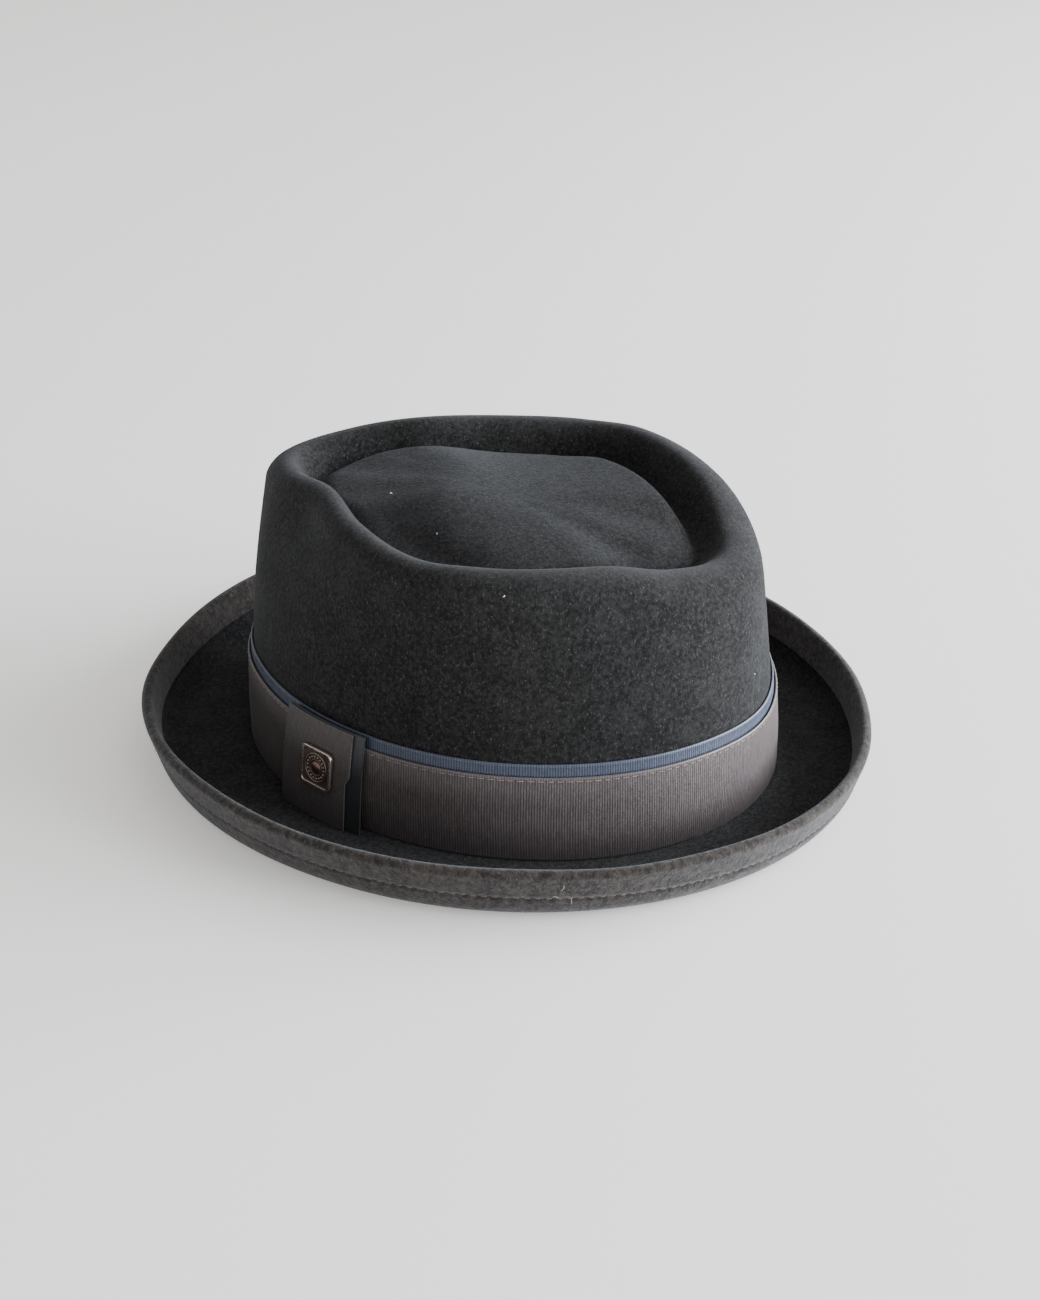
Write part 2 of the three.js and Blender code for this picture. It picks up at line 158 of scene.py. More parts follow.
BRIM_STATIONS = (
    BrimStation(turn=0, reach=0.94, lip=1.0),
    BrimStation(turn=45, reach=1.09, lip=0.985),
    BrimStation(turn=90, reach=1.02, lip=0.95),
    BrimStation(turn=135, reach=0.93, lip=0.87),
    BrimStation(turn=180, reach=0.91, lip=0.82),
)


def station_value(stations: tuple, column: str, turn: np.ndarray) -> np.ndarray:
    """Smooth value of one column of a table of stations, level at the table's ends.

    Args:
        stations: The table, in order of turn. One that ends at 180 holds for both halves of the hat.
        column: The field to read.
        turn: Turns in degrees.

    Returns:
        One value for each turn.
    """
    turns = np.array([station.turn for station in stations], float)
    values = np.array([getattr(station, column) for station in stations], float)
    slopes = np.zeros_like(values)
    slopes[1:-1] = (values[2:] - values[:-2]) / (turns[2:] - turns[:-2])
    at = np.asarray(turn, float) % FULL_TURN
    if turns[-1] < FULL_TURN:
        at = np.minimum(at, FULL_TURN - at)
    upper = np.clip(np.searchsorted(turns, at), 1, len(turns) - 1)
    lower = upper - 1
    span = turns[upper] - turns[lower]
    s = (at - turns[lower]) / span
    rise = values[upper] - values[lower]
    start = slopes[lower] * span
    end = slopes[upper] * span
    return values[lower] + s * (start + s * (3 * rise - 2 * start - end + s * (start + end - 2 * rise)))


@dataclass(frozen=True)
class HatForm:
    """Driving sizes of the hat, the same as those of its solids."""

    head_length: float = 203.6 * MM
    head_width: float = 166.6 * MM
    felt: float = 2.0 * MM
    crown_height: float = 106.8 * MM
    crown_draw: float = 30.0 * MM
    crest_radius: float = 8.0 * MM
    wall_power: float = 2.53
    wall_power_swing: float = 0.5
    wall_power_dip: float = 1.3
    moat_width: float = 15.0 * MM
    moat_depth: float = 17.0 * MM
    centre_run: float = 26.0 * MM
    centre_drop: float = 7.8 * MM
    brim_reach: float = 39.5 * MM
    lip_height: float = 24.0 * MM
    curl_radius: float = 10.0 * MM
    curl_turn: float = 75.0
    welt_depth: float = 10.5 * MM
    trim_width: float = 36.8 * MM
    band_width: float = 32.4 * MM
    tab_turn: float = 70.6
    tab_rise: float = 0.6 * MM
    tab_flare: float = 3.0 * MM
    drift: float = 0.35 * MM

    def moat(self, column: str, turn: np.ndarray) -> np.ndarray:
        """One column of the moat's stations at a turn."""
        return station_value(MOAT_STATIONS, column, turn)

    def middle(self) -> float:
        """Y of the head oval's centre: the brim reaches further at the front than at the back."""
        ends = station_value(BRIM_STATIONS, "reach", np.array([0.0, 180.0])) * self.brim_reach
        return float(ends[0] - ends[1]) / 2.0

    def normal(self, turn: np.ndarray) -> np.ndarray:
        """Level outward direction of the head oval at each turn."""
        t = np.radians(turn)
        x = np.sin(t) / (self.head_width / 2)
        y = -np.cos(t) / (self.head_length / 2)
        size = np.hypot(x, y)
        return np.stack([x / size, y / size, np.zeros_like(size)], -1)

    def point(self, turn: np.ndarray, outside: np.ndarray, z: np.ndarray) -> np.ndarray:
        """Points a distance outside the head oval (negative: inside) at a height."""
        t = np.radians(turn)
        x = (self.head_width / 2) * np.sin(t)
        y = self.middle() - (self.head_length / 2) * np.cos(t)
        flat = np.stack([x, y, np.zeros_like(x)], -1) + self.normal(turn) * np.reshape(outside, (-1, 1))
        flat[:, 2] = z
        return flat

    def crest_height(self, turn: np.ndarray) -> np.ndarray:
        """Height of the crown's crest."""
        return station_value(CREST_STATIONS, "height", turn) * self.crown_height

    def crest_inset(self, turn: np.ndarray) -> np.ndarray:
        """How far the crest lies inside the head oval."""
        return station_value(CREST_STATIONS, "inset", turn) * self.crown_draw

    def crest_round(self, turn: np.ndarray) -> np.ndarray:
        """Radius of the rounded crest."""
        return station_value(CREST_STATIONS, "round", turn) * self.crest_radius

    def wall_inset(self, turn: np.ndarray, z: np.ndarray) -> np.ndarray:
        """Inset of the crown wall at a height: upright at the brim, leaning in towards the crest."""
        radius = self.crest_round(turn)
        top = self.crest_height(turn) - radius
        share = np.clip((z - self.felt) / (top - self.felt), 0.0, 1.0)
        t = np.radians(turn)
        power = self.wall_power + self.wall_power_swing * np.cos(t) - self.wall_power_dip * np.sin(t) ** 2
        return (self.crest_inset(turn) - radius) * share**power

    def wall_point(self, turn: np.ndarray, z: np.ndarray, outside: float) -> np.ndarray:
        """Points a distance outside the crown wall, carried along by the slow drift of the felt."""
        level = z + np.zeros_like(turn)
        return self.drifted(self.point(turn, outside - self.wall_inset(turn, level), level))

    def drifted(self, points: np.ndarray) -> np.ndarray:
        """The slow unevenness of a form shaped by hand.

        Args:
            points: Places on the hat, with X, Y and Z on the last axis.

        Returns:
            The same places, moved by up to about the drift. What lies on the table stays on it.
        """
        x, y, z = points[..., 0], points[..., 1], points[..., 2]
        free = smooth_step(z, 3.0 * MM, 24.0 * MM) * self.drift
        moved = points.copy()
        moved[..., 0] += free * (np.sin(41 * y + 57 * z + 0.7) + 0.6 * np.sin(93 * y - 38 * x + 2.1))
        moved[..., 1] += free * (np.sin(37 * x - 49 * z + 1.9) + 0.6 * np.sin(88 * x + 61 * y + 0.4))
        moved[..., 2] += free * (np.sin(33 * x + 29 * y + 1.1) + 0.7 * np.sin(67 * y - 52 * x + 4.0))
        return moved

    def brim_wall(self, turn: np.ndarray) -> np.ndarray:
        """Length of the brim's straight wall, from the end of the curl up to the fold."""
        turned = math.radians(self.curl_turn)
        lip = station_value(BRIM_STATIONS, "lip", turn) * self.lip_height
        return (lip - self.felt - self.curl_radius * (1 - math.cos(turned))) / math.sin(turned)

    def brim_point(self, turn: np.ndarray, stretch: Stretch, at: float, layers: float) -> np.ndarray:
        """A row of the brim: flat on the table, then a curl, then straight up to the fold of the edge.

        Args:
            turn: Turns in degrees.
            stretch: Which stretch of the brim the row is on.
            at: Share of the flat or of the curl, or metres above (negative: below) the wall's upper end.
            layers: Felt layers between the underside and the row.

        Returns:
            One place for each turn.
        """
        turned = math.radians(self.curl_turn)
        curl_rise = self.curl_radius * (1 - math.cos(turned))
        curl_run = self.curl_radius * math.sin(turned)
        reach = station_value(BRIM_STATIONS, "reach", turn) * self.brim_reach
        wall = self.brim_wall(turn)
        flat_end = reach - curl_run - wall * math.cos(turned)
        if stretch is Stretch.FLAT:
            angle, outside, z = 0.0, at * flat_end, np.zeros_like(reach)
        elif stretch is Stretch.CURL:
            angle = at * turned
            outside = flat_end + self.curl_radius * math.sin(angle)
            z = np.full_like(reach, self.curl_radius * (1 - math.cos(angle)))
        else:
            angle = turned
            length = wall + at
            outside = flat_end + curl_run + length * math.cos(turned)
            z = curl_rise + length * math.sin(turned)
        lift = layers * self.felt
        place = self.point(turn, outside - lift * math.sin(angle), z + lift * math.cos(angle))
        return self.drifted(place)


class Stretch(Enum):
    """The stretches of the brim from the crown outwards."""

    FLAT = "flat"
    CURL = "curl"
    WALL = "wall"


def clear_selection() -> None:
    """Deselects everything, so an operator acts on the piece at hand alone."""
    bpy.ops.object.select_all(action="DESELECT")


def take_new(name: str) -> bpy.types.Object:
    """Names the object that the last add operator made."""
    piece = bpy.context.object
    piece.name = name
    piece.data.name = name
    return piece


def pick(piece: bpy.types.Object) -> None:
    """Makes one piece the only selected and active object."""
    clear_selection()
    piece.select_set(True)
    bpy.context.view_layer.objects.active = piece


def apply_modifier(piece: bpy.types.Object, kind: str, **settings: float) -> None:
    """Adds one modifier to a piece, sets it and applies it."""
    pick(piece)
    modifier = piece.modifiers.new(kind.title(), kind)
    for key, value in settings.items():
        setattr(modifier, key, value)
    bpy.ops.object.modifier_apply(modifier=modifier.name)


def bake_place(piece: bpy.types.Object) -> None:
    """Moves a piece's place, turn and scale into its mesh."""
    pick(piece)
    bpy.ops.object.transform_apply(location=True, rotation=True, scale=True)


def join_pieces(pieces: list[bpy.types.Object], name: str) -> bpy.types.Object:
    """Joins pieces into one object.

    Args:
        pieces: The objects, the first of which takes in the others.
        name: The joined object's name.

    Returns:
        The joined object.
    """
    clear_selection()
    for piece in pieces:
        piece.select_set(True)
    bpy.context.view_layer.objects.active = pieces[0]
    bpy.ops.object.join()
    return take_new(name)


def merge_seams(piece: bpy.types.Object) -> None:
    """Merges vertices that lie on one another and turns all faces outwards."""
    pick(piece)
    bpy.ops.object.mode_set(mode="EDIT")
    bpy.ops.mesh.select_all(action="SELECT")
    bpy.ops.mesh.remove_doubles(threshold=0.001 * MM)
    bpy.ops.mesh.normals_make_consistent(inside=False)
    bpy.ops.object.mode_set(mode="OBJECT")


def smooth_faces(piece: bpy.types.Object, angle: float = 60.0) -> None:
    """Shades a piece smooth up to an angle in degrees."""
    pick(piece)
    bpy.ops.object.shade_smooth_by_angle(angle=math.radians(angle))


def coordinates(piece: bpy.types.Object) -> np.ndarray:
    """The vertices of a piece as rows of X, Y and Z."""
    flat = np.empty(len(piece.data.vertices) * 3)
    piece.data.vertices.foreach_get("co", flat)
    return flat.reshape(-1, 3)


def set_coordinates(piece: bpy.types.Object, places: np.ndarray) -> None:
    """Moves the vertices of a piece to new places."""
    piece.data.vertices.foreach_set("co", places.astype(np.float32).ravel())
    piece.data.update()


def set_attribute(piece: bpy.types.Object, name: str, values: np.ndarray) -> None:
    """Stores one number for each vertex of a piece under a name that its material reads."""
    attribute = piece.data.attributes.new(name, "FLOAT", "POINT")
    attribute.data.foreach_set("value", values.astype(np.float32).ravel())


def mesh_from_arrays(name: str, places: np.ndarray, faces: np.ndarray) -> bpy.types.Object:
    """A piece of many small loose bodies.

    Args:
        name: The object's name.
        places: Vertices as rows of X, Y and Z.
        faces: Triangles as rows of three vertex numbers.

    Returns:
        The new object, linked to the scene.
    """
    mesh = bpy.data.meshes.new(name)
    mesh.vertices.add(len(places))
    mesh.vertices.foreach_set("co", places.astype(np.float32).ravel())
    mesh.loops.add(faces.size)
    mesh.loops.foreach_set("vertex_index", faces.astype(np.int32).ravel())
    mesh.polygons.add(len(faces))
    mesh.polygons.foreach_set("loop_start", np.arange(0, faces.size, 3, dtype=np.int32))
    mesh.update(calc_edges=True)
    mesh.validate()
    piece = bpy.data.objects.new(name, mesh)
    bpy.context.collection.objects.link(piece)
    return piece


def tube_faces(steps: int, sides: int) -> np.ndarray:
    """Triangles of a tube with both ends closed.

    Args:
        steps: Steps along the tube, one less than its rings.
        sides: Vertices of a ring.

    Returns:
        Triangles as rows of three vertex numbers.
    """
    k = np.arange(sides)
    after = (k + 1) % sides
    rows = np.arange(steps)[:, None] * sides
    a, b = (rows + k).ravel(), (rows + after).ravel()
    c, d = a + sides, b + sides
    wall = np.concatenate([np.stack([a, c, b], -1), np.stack([b, c, d], -1)])
    fan = np.arange(1, sides - 1)
    first = np.stack([np.zeros_like(fan), fan, fan + 1], -1)
    last = np.stack([np.zeros_like(fan), fan + 1, fan], -1) + steps * sides
    return np.concatenate([wall, first, last])


class NodeKit:
    """A short hand for the nodes of one material."""

    def __init__(self, name: str) -> None:
        """Starts a material with one Principled shader.

        Args:
            name: The material's name.
        """
        self.material = bpy.data.materials.new(name)
        self.material.use_nodes = True
        self.tree = self.material.node_tree
        self.shader = next(n for n in self.tree.nodes if n.type == "BSDF_PRINCIPLED")
        self.object_place = self.add("ShaderNodeTexCoord").outputs["Object"]

    def add(self, kind: str, **settings: object) -> bpy.types.Node:
        """Adds a node and sets its properties."""
        node = self.tree.nodes.new(kind)
        for key, value in settings.items():
            setattr(node, key, value)
        return node

    def link(self, source: bpy.types.NodeSocket, target: bpy.types.NodeSocket) -> None:
        """Links two sockets."""
        self.tree.links.new(source, target)

    def attribute(self, name: str) -> bpy.types.NodeSocket:
        """The value that the mesh stores under a name."""
        return self.add("ShaderNodeAttribute", attribute_name=name).outputs["Fac"]

    def level(self) -> bpy.types.NodeSocket:
        """Height over the table."""
        split = self.add("ShaderNodeSeparateXYZ")
        self.link(self.object_place, split.inputs["Vector"])
        return split.outputs["Z"]

    def stretched(self, scale: tuple[float, float, float]) -> bpy.types.NodeSocket:
        """Object coordinates, scaled along each axis."""
        mapping = self.add("ShaderNodeMapping")
        mapping.inputs["Scale"].default_value = scale
        self.link(self.object_place, mapping.inputs["Vector"])
        return mapping.outputs["Vector"]

    def noise(self, scale: float, detail: float = 3.0, rough: float = 0.6,
              vector: bpy.types.NodeSocket | None = None) -> bpy.types.NodeSocket:
        """Noise with a number of features to the metre.

        Args:
            scale: Features to the metre.
            detail: Octaves.
            rough: Strength of the finer octaves.
            vector: Coordinates, or None for the object's own.

        Returns:
            The noise value.
        """
        node = self.add("ShaderNodeTexNoise")
        node.inputs["Scale"].default_value = scale
        node.inputs["Detail"].default_value = detail
        node.inputs["Roughness"].default_value = rough
        self.link(vector or self.object_place, node.inputs["Vector"])
        return node.outputs["Fac"]

    def ramp(self, value: bpy.types.NodeSocket, low: float, high: float,
             out_low: float = 0.0, out_high: float = 1.0) -> bpy.types.NodeSocket:
        """Maps a range of a value onto another range, clamped."""
        node = self.add("ShaderNodeMapRange", clamp=True)
        for key, number in (("From Min", low), ("From Max", high), ("To Min", out_low), ("To Max", out_high)):
            node.inputs[key].default_value = number
        self.link(value, node.inputs["Value"])
        return node.outputs["Result"]

    def math(self, operation: str, a: bpy.types.NodeSocket | float,
             b: bpy.types.NodeSocket | float) -> bpy.types.NodeSocket:
        """One step of arithmetic on two values."""
        node = self.add("ShaderNodeMath", operation=operation)
        for socket, value in zip(node.inputs, (a, b)):
            if isinstance(value, (int, float)):
                socket.default_value = value
            else:
                self.link(value, socket)
        return node.outputs["Value"]

    def mix(self, share: bpy.types.NodeSocket, a: Colour | bpy.types.NodeSocket,
            b: Colour | bpy.types.NodeSocket) -> bpy.types.NodeSocket:
        """Mixes two colours by a share."""
        node = self.add("ShaderNodeMix", data_type="RGBA")
        self.link(share, node.inputs["Factor"])
        colour_inputs = [socket for socket in node.inputs if socket.type == "RGBA"]
        for socket, colour in zip(colour_inputs, (a, b)):
            if isinstance(colour, tuple):
                socket.default_value = (*colour, 1.0)
            else:
                self.link(colour, socket)
        return next(socket for socket in node.outputs if socket.type == "RGBA")

    def bump(self, height: bpy.types.NodeSocket, strength: float, distance: float) -> None:
        """Puts a relief of a depth in metres on the surface."""
        node = self.add("ShaderNodeBump")
        node.inputs["Strength"].default_value = strength
        node.inputs["Distance"].default_value = distance
        self.link(height, node.inputs["Height"])
        self.link(node.outputs["Normal"], self.shader.inputs["Normal"])

    def colour(self, value: bpy.types.NodeSocket) -> None:
        """Gives the shader its base colour."""
        self.link(value, self.shader.inputs["Base Color"])

    def roughness(self, value: bpy.types.NodeSocket) -> None:
        """Gives the shader a roughness that varies."""
        self.link(value, self.shader.inputs["Roughness"])

    def set(self, **numbers: float | tuple) -> None:
        """Sets sockets of the shader by name, with underscores for spaces."""
        for key, value in numbers.items():
            self.shader.inputs[key.replace("_", " ")].default_value = value


Colour = tuple[float, float, float]


@dataclass(frozen=True)
class FeltFinish:
    """Wool felt: mottled, with a soft nap and a few paler fibres pressed into it."""

    name: str
    deep: Colour
    pale: Colour
    fleck: Colour
    fleck_share: float
    grain: float
    relief: float
    sheen: float
    # Paleness along the crest: partly rubbed nap, partly a painted highlight where the crest catches the light.
    crest_wear_and_highlight: float

    def material(self) -> bpy.types.Material:
        """Builds the felt's material."""
        kit = NodeKit(self.name)
        blotch = kit.noise(90.0, 3.0)
        mottle = kit.noise(self.grain, 3.0, 0.65)
        fibre = kit.noise(self.grain * 2.4, 3.0, 0.8, kit.stretched((1.0, 1.0, 0.6)))
        tone = kit.math("ADD", kit.math("MULTIPLY", blotch, 0.25), kit.math("MULTIPLY", mottle, 0.75))
        ground = kit.mix(kit.ramp(tone, 0.41, 0.6), self.deep, self.pale)
        flecks = kit.ramp(fibre, 0.58, 0.70, 0.0, self.fleck_share)
        # Painted highlight and wear: the felt pales along the crest.
        crest_worn_and_lit = kit.mix(kit.math("MULTIPLY", kit.attribute("crest"), self.crest_wear_and_highlight), ground, self.fleck)
        kit.colour(kit.mix(flecks, crest_worn_and_lit, self.fleck))
        height = kit.math("ADD", kit.math("MULTIPLY", mottle, 0.6), kit.math("MULTIPLY", fibre, 0.5))
        kit.bump(height, 0.75, self.relief)
        kit.set(Roughness=0.95, Sheen_Weight=self.sheen, Sheen_Roughness=0.5, Specular_IOR_Level=0.12)
        kit.shader.inputs["Sheen Tint"].default_value = (0.82, 0.86, 0.95, 1.0)
        return kit.material


@dataclass(frozen=True)
class RibbonFinish:
    """Grosgrain: fine ribs with a shine of their own, and painted shade in the gaps between them."""

    name: str
    # Painted shade: the gap colour and the gap's tone darken the grooves between the ribs.
    gap: Colour
    rib: Colour
    gap_shade_tone: float
    shine: float
    sheen: float

    def material(self) -> bpy.types.Material:
        """Builds the ribbon's material."""
        kit = NodeKit(self.name)
        rib = kit.attribute("rib")
        slub = kit.noise(900.0, 3.0, 0.7, kit.stretched((1.0, 1.0, 0.22)))
        weft = kit.noise(1100.0, 3.0, 0.75)
        # Painted shade: the gaps between the ribs are darkened.
        tone = kit.math("MULTIPLY", kit.ramp(rib, 0.05, 0.95, self.gap_shade_tone, 1.0), kit.ramp(slub, 0.38, 0.62, 0.7, 1.0))
        grain = kit.math("MULTIPLY", tone, kit.ramp(weft, 0.38, 0.62, 0.65, 1.0))
        # Painted shade: the ribbon darkens towards its foot, where the brim keeps the light off.
        foot_shade = kit.ramp(kit.level(), 2.0 * MM, 15.0 * MM, 0.5, 1.0)
        kit.colour(kit.mix(kit.math("MULTIPLY", grain, foot_shade), self.gap, self.rib))
        kit.bump(weft, 0.5, 0.06 * MM)
        kit.set(Roughness=self.shine, Sheen_Weight=self.sheen, Sheen_Roughness=0.35, Specular_IOR_Level=0.9)
        return kit.material


@dataclass(frozen=True)
class ThreadFinish:
    """A matt thread or a wool hair of one shade, a little uneven."""

    name: str
    deep: Colour
    pale: Colour

    def material(self) -> bpy.types.Material:
        """Builds the thread's material."""
        kit = NodeKit(self.name)
        kit.colour(kit.mix(kit.ramp(kit.noise(900.0), 0.35, 0.65), self.deep, self.pale))
        kit.set(Roughness=0.8, Sheen_Weight=0.2, Specular_IOR_Level=0.2)
        return kit.material


@dataclass(frozen=True)
class CastMetalFinish:
    """Antique cast metal: dark in its recesses, worn bright on what stands proud, warm in the middle."""

    name: str
    patina: Colour
    worn: Colour
    warm: Colour

    def material(self) -> bpy.types.Material:
        """Builds the metal's material."""
        kit = NodeKit(self.name)
        grime = kit.noise(900.0, 4.0, 0.7)
        pits = kit.noise(3200.0, 3.0, 0.7)
        wear = kit.ramp(kit.math("ADD", kit.attribute("relief"), kit.math("MULTIPLY", grime, 0.5)), 0.45, 1.15)
        metal = kit.mix(wear, self.patina, self.worn)
        kit.colour(kit.mix(kit.attribute("warmth"), metal, self.warm))
        kit.roughness(kit.ramp(wear, 0.0, 1.0, 0.52, 0.26))
        kit.bump(kit.math("ADD", pits, kit.math("MULTIPLY", grime, 0.7)), 0.35, 0.06 * MM)
        kit.set(Metallic=1.0)
        return kit.material


SMOOTH_FELT = FeltFinish(
    name="smooth_felt", deep=(0.0062, 0.0062, 0.0062), pale=(0.0225, 0.0225, 0.0228), fleck=(0.15, 0.15, 0.15),
    fleck_share=0.5, grain=620.0, relief=0.5 * MM, sheen=0.1, crest_wear_and_highlight=0.07,
)
NAPPED_FELT = FeltFinish(
    name="napped_felt", deep=(0.017, 0.0145, 0.0127), pale=(0.052, 0.0445, 0.039), fleck=(0.15, 0.135, 0.122),
    fleck_share=0.6, grain=430.0, relief=0.9 * MM, sheen=0.25, crest_wear_and_highlight=0.0,
)
SLATE_GROSGRAIN = RibbonFinish(
    name="slate_grosgrain", gap=(0.006, 0.009, 0.018), rib=(0.1, 0.135, 0.225), gap_shade_tone=0.06, shine=0.42,
    sheen=0.08,
)
# Painted shade: a darker copy of the slate ribbon, for the tab.
SHADED_SLATE_GROSGRAIN = RibbonFinish(
    name="shaded_slate_grosgrain", gap=(0.006, 0.007, 0.010), rib=(0.034, 0.038, 0.048), gap_shade_tone=0.3, shine=0.5,
    sheen=0.05,
)
TAUPE_GROSGRAIN = RibbonFinish(
    name="taupe_grosgrain", gap=(0.012, 0.0095, 0.0097), rib=(0.205, 0.175, 0.18), gap_shade_tone=0.22, shine=0.42,
    sheen=0.14,
)
# Painted shade: a darker copy of the taupe ribbon, for the tab.
SHADED_TAUPE_GROSGRAIN = RibbonFinish(
    name="shaded_taupe_grosgrain", gap=(0.012, 0.0095, 0.0097), rib=(0.115, 0.098, 0.101), gap_shade_tone=0.55, shine=0.7,
    sheen=0.03,
)
PALE_THREAD = ThreadFinish(name="pale_thread", deep=(0.08, 0.072, 0.068), pale=(0.16, 0.145, 0.14))
ROSY_THREAD = ThreadFinish(name="rosy_thread", deep=(0.24, 0.165, 0.15), pale=(0.38, 0.27, 0.25))
DARK_HAIR = ThreadFinish(name="dark_hair", deep=(0.022, 0.022, 0.024), pale=(0.05, 0.05, 0.053))
NAP_HAIR = ThreadFinish(name="nap_hair", deep=(0.045, 0.039, 0.035), pale=(0.13, 0.117, 0.107))
WHITE_LINT = ThreadFinish(name="white_lint", deep=(0.55, 0.54, 0.52), pale=(0.8, 0.79, 0.77))
ANTIQUE_METAL = CastMetalFinish(
    name="antique_metal", patina=(0.19, 0.145, 0.125), worn=(0.86, 0.72, 0.63), warm=(0.36, 0.18, 0.155),
)


@dataclass
class FeltShell:
    """The felt body: crown and brim in one shell, blocked from a sphere as on a hatter's block."""

    form: HatForm
    columns: int = 360
    centre_steps: int = 22
    rise_steps: int = 12
    fall_steps: int = 16
    crest_steps: int = 12
    wall_steps: int = 40
    flat_steps: int = 10
    curl_steps: int = 12
    welt_steps: int = 12
    fold_steps: int = 12
    outer_steps: int = 26
    stitch_depth: float = 9.2 * MM
    groove_depth: float = 0.45 * MM
    groove_width: float = 0.75 * MM
    edge_round: float = 0.7 * MM
    ridge_bearing: float = 18.4
    ridge_ahead: float = 21.0 * MM
    ridge_width: float = 17.0 * MM
    ridge_height: float = 2.6 * MM
    crest_band: float = 6.0

    def turns(self) -> np.ndarray:
        """The turn of each column of vertices."""
        return np.arange(self.columns) * FULL_TURN / self.columns

    def crown_rows(self) -> np.ndarray:
        """The outside of the crown, from the ring next to its middle down to the brim."""
        form, turn = self.form, self.turns()
        crest, inset, radius = form.crest_height(turn), form.crest_inset(turn), form.crest_round(turn)
        valley_run = form.moat("valley_run", turn) * form.moat_width
        valley = crest - form.moat("valley_drop", turn) * form.moat_depth
        edge_run = form.moat("edge_run", turn) * form.centre_run
        edge_height = crest - form.moat("edge_drop", turn) * form.moat_depth
        centre_height = form.crown_height - form.centre_drop
        edge = form.point(turn, -inset - edge_run, edge_height)
        axis = np.array([0.0, form.middle(), 0.0])
        rows = []
        for share in shares(self.centre_steps, 1):
            row = axis + (edge - axis) * share
            row[:, 2] = centre_height + (edge_height - centre_height) * share * share
            row[:, 2] += self.ridge(row - axis) * (1.0 - share**4)
            rows.append(row)
        reach = np.hypot(edge[:, 0], edge[:, 1] - form.middle())
        slope = 2.0 * (edge_height - centre_height) / reach * (edge_run - valley_run)
        for s in shares(self.rise_steps, 1):
            run = edge_run + s * (valley_run - edge_run)
            fall = (valley - edge_height - slope) * s * s + slope * s
            rows.append(form.point(turn, -inset - run, edge_height + fall))
        for s in shares(self.fall_steps, 1):
            back = 1.0 - s
            fall = back * back * (0.6 + back * (2.8 - 2.4 * back))
            rows.append(form.point(turn, -inset - back * valley_run, crest - fall * (crest - valley)))
        for s in shares(self.crest_steps, 1)[:-1]:
            angle = math.radians(90.0 - 75.0 * s)
            z = crest - radius * (1.0 - math.sin(angle))
            rows.append(form.point(turn, radius * math.cos(angle) - inset, z))
        top = crest - radius
        for s in shares(self.wall_steps):
            z = top + s * (form.felt - top)
            rows.append(form.point(turn, -form.wall_inset(turn, z), z))
        return form.drifted(np.stack(rows))

    def ridge(self, place: np.ndarray) -> np.ndarray:
        """Rise of the soft ridge that crosses the raised centre, in front of its middle.

        Args:
            place: Places counted from the middle of the head oval.

        Returns:
            Its height at each place.
        """
        bearing = math.radians(self.ridge_bearing)
        ahead = place[:, 0] * math.sin(bearing) - place[:, 1] * math.cos(bearing)
        return self.ridge_height * np.exp(-(((ahead - self.ridge_ahead) / self.ridge_width) ** 2))

    def brim_top_rows(self) -> list[np.ndarray]:
        """The brim's upper side, from the crown out to the raw edge of the welt."""
        form, turn = self.form, self.turns()
        rows = [form.brim_point(turn, Stretch.FLAT, s, 1.0) for s in shares(self.flat_steps, 1)]
        rows += [form.brim_point(turn, Stretch.CURL, s, 1.0) for s in shares(self.curl_steps, 1)]
        rows.append(form.brim_point(turn, Stretch.WALL, -form.welt_depth, 1.0))
        return rows

    def welt_rows(self) -> list[np.ndarray]:
        """The turned-over edge: its raw edge, its inner face, the fold, and the outside down to the curl."""
        form, turn = self.form, self.turns()
        raw = [(0.0, 1.12), (0.0, 1.45), (0.12, 1.75), (0.45, 1.95), (1.0, 2.0)]
        rows = [
            form.brim_point(turn, Stretch.WALL, along * self.edge_round - form.welt_depth, layers)
            for along, layers in raw
        ]
        inner = self.edge_round - form.welt_depth
        rows += [form.brim_point(turn, Stretch.WALL, inner * (1.0 - s), 2.0) for s in shares(self.welt_steps, 1)]
        for s in shares(self.fold_steps, 1):
            angle = math.pi * (1.0 - s)
            rows.append(form.brim_point(turn, Stretch.WALL, form.felt * math.sin(angle), 1.0 - math.cos(angle)))
        wall = form.brim_wall(turn)
        for s in shares(self.outer_steps, 1):
            groove = np.exp(-(((s * wall - self.stitch_depth) / self.groove_width) ** 2)) * self.groove_depth
            rows.append(form.brim_point(turn, Stretch.WALL, -s * wall, groove / form.felt))
        return rows

    def underside_rows(self) -> list[np.ndarray]:
        """The brim's underside, from the curl in to the head opening."""
        form, turn = self.form, self.turns()
        rows = [form.brim_point(turn, Stretch.CURL, 1.0 - s, 0.0) for s in shares(self.curl_steps, 1)]
        rows += [form.brim_point(turn, Stretch.FLAT, 1.0 - s, 0.0) for s in shares(self.flat_steps, 1)]
        for angle in (30.0, 60.0, 90.0):
            t = math.radians(angle)
            outside = -form.felt * math.sin(t)
            rows.append(form.point(turn, np.full_like(turn, outside), form.felt * (1.0 - math.cos(t))))
        return rows

    def inside_rows(self, outside: np.ndarray) -> np.ndarray:
        """The inside of the crown, one felt thickness under its outside.

        Args:
            outside: The crown's outer rows, from its middle down.

        Returns:
            The inner rows, from the brim up to the middle. Every second row is left out.
        """
        along = np.gradient(outside, axis=0)
        around = np.roll(outside, -1, axis=1) - np.roll(outside, 1, axis=1)
        normal = np.cross(along, around)
        normal /= np.linalg.norm(normal, axis=2, keepdims=True)
        inner = outside - normal * self.form.felt
        kept = inner[: -3 : 2]
        return kept[::-1]

